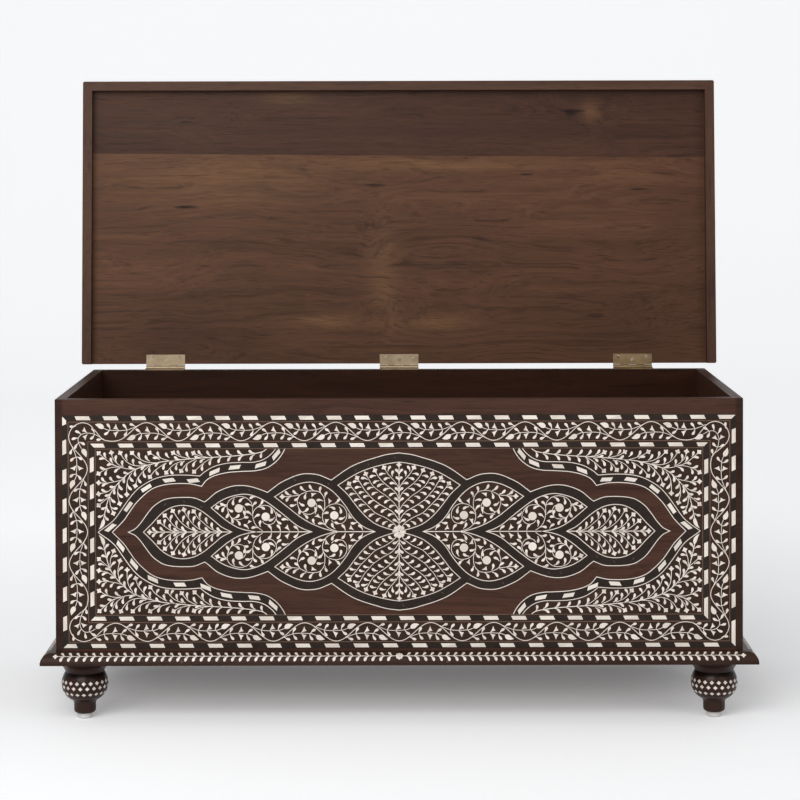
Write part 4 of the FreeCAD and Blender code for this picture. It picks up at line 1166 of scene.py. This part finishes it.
SPANDREL_BONE, SPANDREL_BAND, SPANDREL_GROUND = spandrel()
QUARTER_CHIPS = {quarter: band_chips(centres) for quarter, centres in BAND_CHIPS.items()}
ALMOND_ART, ALMOND_EDGE = medallion(ALMOND, ALMOND_SPINE, True, (), ALMOND_BLOOMS, ALMOND_LEAVES)
# The medallions on one side of the middle one
MEDALLIONS = (
    (ALMOND_ART, ALMOND_EDGE),
    medallion(
        OUTER_HEART, OUTER_SPINE, False,
        OUTER_SCROLLS, OUTER_BLOOMS, OUTER_LEAVES, OUTER_BELLS, OUTER_DISCS,
    ),
    medallion(
        INNER_HEART, INNER_SPINE, False,
        INNER_SCROLLS, INNER_BLOOMS, INNER_LEAVES, INNER_BELLS, INNER_DISCS,
    ),
)
FAN_ART, FAN_EDGE = fans()


def lay_border(face, label, half_x, half_y):
    """What the border of every inlaid face has: the vine on its darker ground, and pale lines."""
    lay(vine_ground(half_x, half_y), face, label + "_vine_ground", *OF_GROUND)
    lay(vine(half_x, half_y), face, label + "_vine", *OF_BONE)
    lay(fillet_lines(half_x, half_y), face, label + "_stringing", *OF_LINES)


def corners(size, shift, mirrored):
    """The spandrels of a face: their bone, the ebony of their bands and their darker ground."""
    bone, band, darker = Art(), Art(), Art()
    for x, y in BAND_CHIPS:
        turn, place = np.diag((x * size, y * size)), (shift[0] * x, shift[1] * y)
        bone.add(SPANDREL_BONE, turn, place)
        bone.add(QUARTER_CHIPS[1, 1] if mirrored else QUARTER_CHIPS[x, y], turn, place)
        band.add(SPANDREL_BAND, turn, place)
        darker.add(SPANDREL_GROUND, turn, place)
    return bone, band, darker


def dress_long(face, label, half_x, half_y):
    """The full design of the front, which the lid's top has too."""
    lay_border(face, label, half_x, half_y)
    bone, band, darker = corners(1, (0, half_y - front_half.z / MM), False)
    lay(darker, face, label + "_corner_grounds", *OF_GROUND)
    lay(band, face, label + "_corner_bands", *OF_EBONY)
    lay(bone, face, label + "_corner_sprays", *OF_BONE)
    plate, darker, bone = Art(), Art(), Art()
    outline = both_ways(both_ways(CHAIN, "y"), "x")[:-1]
    plate.sheets.append(outline)
    bone.line(outline, OUTLINE_WIDTH, closed=True)
    for x in (1, -1):
        for art, edge in MEDALLIONS:
            bone.add(art, np.diag((x, 1)))
            darker.sheets.append(edge * (x, 1))
    bone.add(FAN_ART)
    for y in (1, -1):
        darker.sheets.append(FAN_EDGE * (1, y))
    lay(plate, face, label + "_medallion_band", *OF_EBONY)
    lay(pegs(), face, label + "_pegs", *OF_LINES)
    lay(darker, face, label + "_medallion_grounds", *OF_GROUND)
    lay(bone, face, label + "_medallions", *OF_BONE)


# The sides take the front's motifs in smaller sizes
SIDE_SPANDREL = 0.5
SIDE_FAN = 0.85
SIDE_ALMOND = 0.55
SIDE_ALMOND_PLACE = 98
SIDE_CORNER_GAP = 1.5


def dress_side(face, label, half_x, half_y):
    """The sides: the same border, with smaller spandrels, one fan medallion and two almonds."""
    lay_border(face, label, half_x, half_y)
    inset = 2 * STRIP_WIDTH + VINE_BAND + SIDE_CORNER_GAP
    corner = np.array(SPANDREL_CORNER) * SIDE_SPANDREL
    shift = (inset - half_x - corner[0], half_y - inset - corner[1])
    bone, band, darker = corners(SIDE_SPANDREL, shift, True)
    bone.add(FAN_ART, np.diag((SIDE_FAN, SIDE_FAN)))
    for y in (1, -1):
        darker.sheets.append(FAN_EDGE * (SIDE_FAN, y * SIDE_FAN))
    for x in (1, -1):
        shift = (x * SIDE_ALMOND_PLACE, 0)
        bone.add(ALMOND_ART, np.diag((x * SIDE_ALMOND, SIDE_ALMOND)), shift)
        darker.sheets.append(ALMOND_EDGE * (x * SIDE_ALMOND, SIDE_ALMOND) + shift)
    lay(darker, face, label + "_grounds", *OF_GROUND)
    lay(band, face, label + "_corner_bands", *OF_EBONY)
    lay(bone, face, label + "_ornament", *OF_BONE)


dress_long(FRONT, "front", front_half.x / MM, front_half.z / MM)
dress_long(LID, "lid", lid_half.x / MM, lid_half_v / MM)
dress_side(LEFT, "left", left_half.y / MM, left_half.z / MM)
dress_side(RIGHT, "right", left_half.y / MM, left_half.z / MM)


# The moulding's vine, on its quarter round

MOULDING_NOSE = 3.0
VINE_RISE = 14.0
VINE_START = 12
VINE_PITCH = 13.55
VINE_END_ROOM = 10
MOULDING_STEM = 1.1
MOULDING_PARTS = 80
MOULDING_LEAF = 5
# Reach along and across, and bow, of the upper and the lower leaf
MOULDING_LEAVES = ((6, 10, -0.1), (7.6, -9.6, 0.17))
MOULDING_BLOOM = 4.6
MOULDING_ROSETTE = (0.8, 6.6, 4)
# How far the vine runs past the front's border, and how far it stays inside a side's corners
FRONT_RUN_ON = 9.5
SIDE_END_ROOM = 4


class Moulding(Face):
    """The curved face of a moulding: v climbs the curve from its nose."""

    def __init__(self, middle, u, outward, radius, centre_out):
        super().__init__("trunk", middle, u, (0, 0, 1))
        self.outward, self.radius, self.centre_out = Vector(outward), radius, centre_out

    def point(self, u, v, w):
        angle = v / self.radius
        reach = self.radius + w
        out = self.centre_out + reach * math.cos(angle)
        rise = MOULDING_NOSE + reach * math.sin(angle)
        return self.middle + (self.u * u + self.outward * out + self.v * rise) * MM


def moulding_vine(half):
    art = Art()
    art.line([(x, VINE_RISE) for x in np.linspace(-half, half, MOULDING_PARTS)], MOULDING_STEM)
    count = int((half - VINE_END_ROOM) / VINE_PITCH)
    for side in (-1, 1):
        for i in range(count):
            x = VINE_START + i * VINE_PITCH
            for reach, rise, bow in MOULDING_LEAVES:
                tip = ((x + reach) * side, VINE_RISE + rise)
                leaf(art, (x * side, VINE_RISE), tip, MOULDING_LEAF, bow * side)
        flower(art, (half * side, VINE_RISE), MOULDING_BLOOM, (1, 0))
    rosette(art, (0, VINE_RISE), *MOULDING_ROSETTE)
    return art


moulding_low, moulding_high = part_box("front_moulding")
overhang = (front_low.y - moulding_low.y) / MM
quarter_radius = (moulding_high.z - moulding_low.z) / MM - MOULDING_NOSE
quarter_centre = overhang - quarter_radius
front_foot = (0, front_low.y, moulding_low.z)
left_foot = (left_low.x, (front_low.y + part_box("back_panel")[1].y) / 2, moulding_low.z)
right_foot = (right_high.x, left_foot[1], moulding_low.z)
front_run = front_half.x / MM + FRONT_RUN_ON
side_run = (left_foot[1] - front_low.y) / MM - SIDE_END_ROOM
for label, middle, u, outward, run in (
    ("front", front_foot, (1, 0, 0), (0, -1, 0), front_run),
    ("left", left_foot, (0, -1, 0), (-1, 0, 0), side_run),
    ("right", right_foot, (0, 1, 0), (1, 0, 0), side_run),
):
    curve = Moulding(middle, u, outward, quarter_radius, quarter_centre)
    lay(moulding_vine(run), curve, label + "_moulding_vine", BONE, "bone", LINE_TOP)


# Bone diamonds round the bulb of each foot, in rows at drops below its collar

BULB_ROWS = (38.5, 47.4, 58.5)
ROW_HEIGHT_SHARES = (0.92, 0.92, 0.75)
DIAMONDS = 21
DIAMOND_HALF = 3.85
DIAMOND_TOP = 0.42
# The bulb's outline is read below this drop, under the foot's collar and neck
NECK_DROP = 20


class Bulb:
    """The round of a foot: u runs round it in degrees, and v is the height over its collar."""

    body = "trunk"

    def __init__(self, node):
        low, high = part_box(node)
        self.middle = (low + high) / 2
        self.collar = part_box("front_moulding")[0].z
        rings = {}
        for vertex in frame["nodes"][node].data.vertices:
            drop = round((self.collar - vertex.co.z) / MM, 1)
            radius = math.hypot(vertex.co.x - self.middle.x, vertex.co.y - self.middle.y) / MM
            rings[drop] = max(rings.get(drop, 0), radius)
        self.drops = sorted(drop for drop in rings if drop > NECK_DROP)
        self.radii = [rings[drop] for drop in self.drops]

    def radius(self, v):
        return float(np.interp(-v, self.drops, self.radii))

    def point(self, u, v, w):
        radius = (self.radius(v) + w) * MM
        x, y = math.cos(math.radians(u)) * radius, math.sin(math.radians(u)) * radius
        return Vector((self.middle.x + x, self.middle.y + y, self.collar + v * MM))


def bulb_diamonds(bulb):
    art = Art()
    for row, drop in enumerate(BULB_ROWS):
        v = -drop
        across = math.degrees(DIAMOND_HALF / bulb.radius(v))
        tall = DIAMOND_HALF * ROW_HEIGHT_SHARES[row]
        for number in range(DIAMONDS):
            u = 360 / DIAMONDS * (number + 0.5 * (row % 2))
            outline = [(u - across, v), (u, v - tall), (u + across, v), (u, v + tall)]
            art.plates.append((np.array([u, v]), np.array(outline)))
    return art


for end in ("front", "back"):
    for side in ("left", "right"):
        bulb = Bulb("foot_%s_%s" % (end, side))
        lay(bulb_diamonds(bulb), bulb, "foot_diamonds_%s_%s" % (end, side), BONE, "bone", DIAMOND_TOP)


# Stage: one pale sheet that is the floor and curves up behind


# Painted light on the paper: a glow seen only by the camera and in reflections, more towards the back, and
# fading under the trunk into a painted shadow
GLOW_FRONT = (-1.0, -0.2, 0.16, 0.22)
GLOW_BACK = (0.1, 1.8, 0.0, 0.19)
PAINTED_SHADOW_FADE = (-0.15, 0.1, 0.36, 1.0)
PAINTED_SHADOW_AREA = (("X", 0.0, 0.6), ("Y", 0.15, 0.15))
SHEET_FRONT, SHEET_SIDE, SHEET_TOP = -7.0, 9.0, 6.5
BEND_PLACE, BEND_RADIUS, BEND_PARTS = 4.8, 1.8, 12


def backdrop():
    """One sheet, far enough back for a look from behind the trunk."""
    profile = [(SHEET_FRONT, 0.0)]
    for i in range(BEND_PARTS + 1):
        angle = math.pi / 2 * i / BEND_PARTS
        profile.append((BEND_PLACE + BEND_RADIUS * math.sin(angle), BEND_RADIUS * (1 - math.cos(angle))))
    profile.append((BEND_PLACE + BEND_RADIUS, SHEET_TOP))
    vertices = [(x, y, z) for y, z in profile for x in (-SHEET_SIDE, SHEET_SIDE)]
    faces = [(2 * i, 2 * i + 1, 2 * i + 3, 2 * i + 2) for i in range(len(profile) - 1)]
    sheet = closed_mesh("backdrop", vertices, faces)
    for polygon in sheet.data.polygons:
        polygon.use_smooth = True
    m = Shader("backdrop_paper")
    cloud = m.noise(0.5, 2.0)
    m.set(Base_Color=m.mix(cloud, (0.86, 0.86, 0.865, 1), (0.89, 0.89, 0.89, 1)), Roughness=0.9)
    rays = [m.node("LightPath", kind) for kind in ("Is Camera Ray", "Is Glossy Ray", "Is Transmission Ray")]
    held = m.node("TexCoord", "Object")
    back = m.node("SeparateXYZ", "Y", {0: held})
    glow = m.sum(m.ranged(back, *GLOW_FRONT), m.ranged(back, *GLOW_BACK))
    # Painted shadow: the glow fades over the trunk's footprint
    gaps = []
    for axis, middle, half in PAINTED_SHADOW_AREA:
        off = m.maths("SUBTRACT", m.node("SeparateXYZ", axis, {0: held}), middle)
        gaps.append(m.maths("SUBTRACT", m.maths("ABSOLUTE", off), half))
    glow = m.maths("MULTIPLY", glow, m.ranged(m.maths("MAXIMUM", *gaps), *PAINTED_SHADOW_FADE))
    glow = m.maths("MULTIPLY", m.maths("MINIMUM", m.sum(*rays), 1.0), glow)
    m.set(Specular_IOR_Level=0.1, Emission_Color=(1, 1, 1, 1), Emission_Strength=glow)
    sheet.data.materials.append(m.material)
    return sheet


backdrop()


def soft_light(name, place, target, width, height, power):
    lamp = bpy.data.lights.new(name, "AREA")
    lamp.shape, lamp.size, lamp.size_y = "RECTANGLE", width, height
    lamp.energy = power
    holder = bpy.data.objects.new(name, lamp)
    holder.location = place
    holder.rotation_mode = "QUATERNION"
    holder.rotation_quaternion = (Vector(target) - Vector(place)).to_track_quat("-Z", "Y")
    bpy.context.scene.collection.objects.link(holder)


soft_light("key_light", (-1.4, -3.8, 2.6), (0, 0, 0.4), 3.0, 2.6, 136)
soft_light("fill_light", (3.2, -3.4, 2.2), (0, 0, 0.5), 2.6, 2.6, 30)

world = bpy.data.worlds.new("studio")
bpy.context.scene.world = world
world.use_nodes = True
sky = world.node_tree.nodes["Background"]
sky.inputs["Color"].default_value = (0.95, 0.97, 1.0, 1.0)
sky.inputs["Strength"].default_value = 0.48

# Camera

camera_data = bpy.data.cameras.new("camera")
camera_data.sensor_width = SENSOR_MM
camera_data.lens = FOCAL_PIXELS * SENSOR_MM / PHOTO_PIXELS
camera_data.shift_y = (OPTICAL_ROW - PHOTO_PIXELS / 2) / PHOTO_PIXELS
camera_data.clip_start, camera_data.clip_end = 0.1, 60.0
camera = bpy.data.objects.new("camera", camera_data)
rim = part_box("front_panel")[1].z
camera.location = (CAMERA_SIDEWAYS, front_low.y - CAMERA_TO_FRONT, rim + CAMERA_OVER_RIM)
aim = Matrix.Rotation(math.radians(CAMERA_YAW), 4, "Z")
aim = aim @ Matrix.Rotation(math.radians(90 - CAMERA_PITCH), 4, "X")
camera.rotation_mode = "QUATERNION"
camera.rotation_quaternion = (aim @ Matrix.Rotation(math.radians(CAMERA_ROLL), 4, "Z")).to_quaternion()
bpy.context.scene.collection.objects.link(camera)
bpy.context.scene.camera = camera
bpy.context.scene.view_settings.view_transform = "Standard"
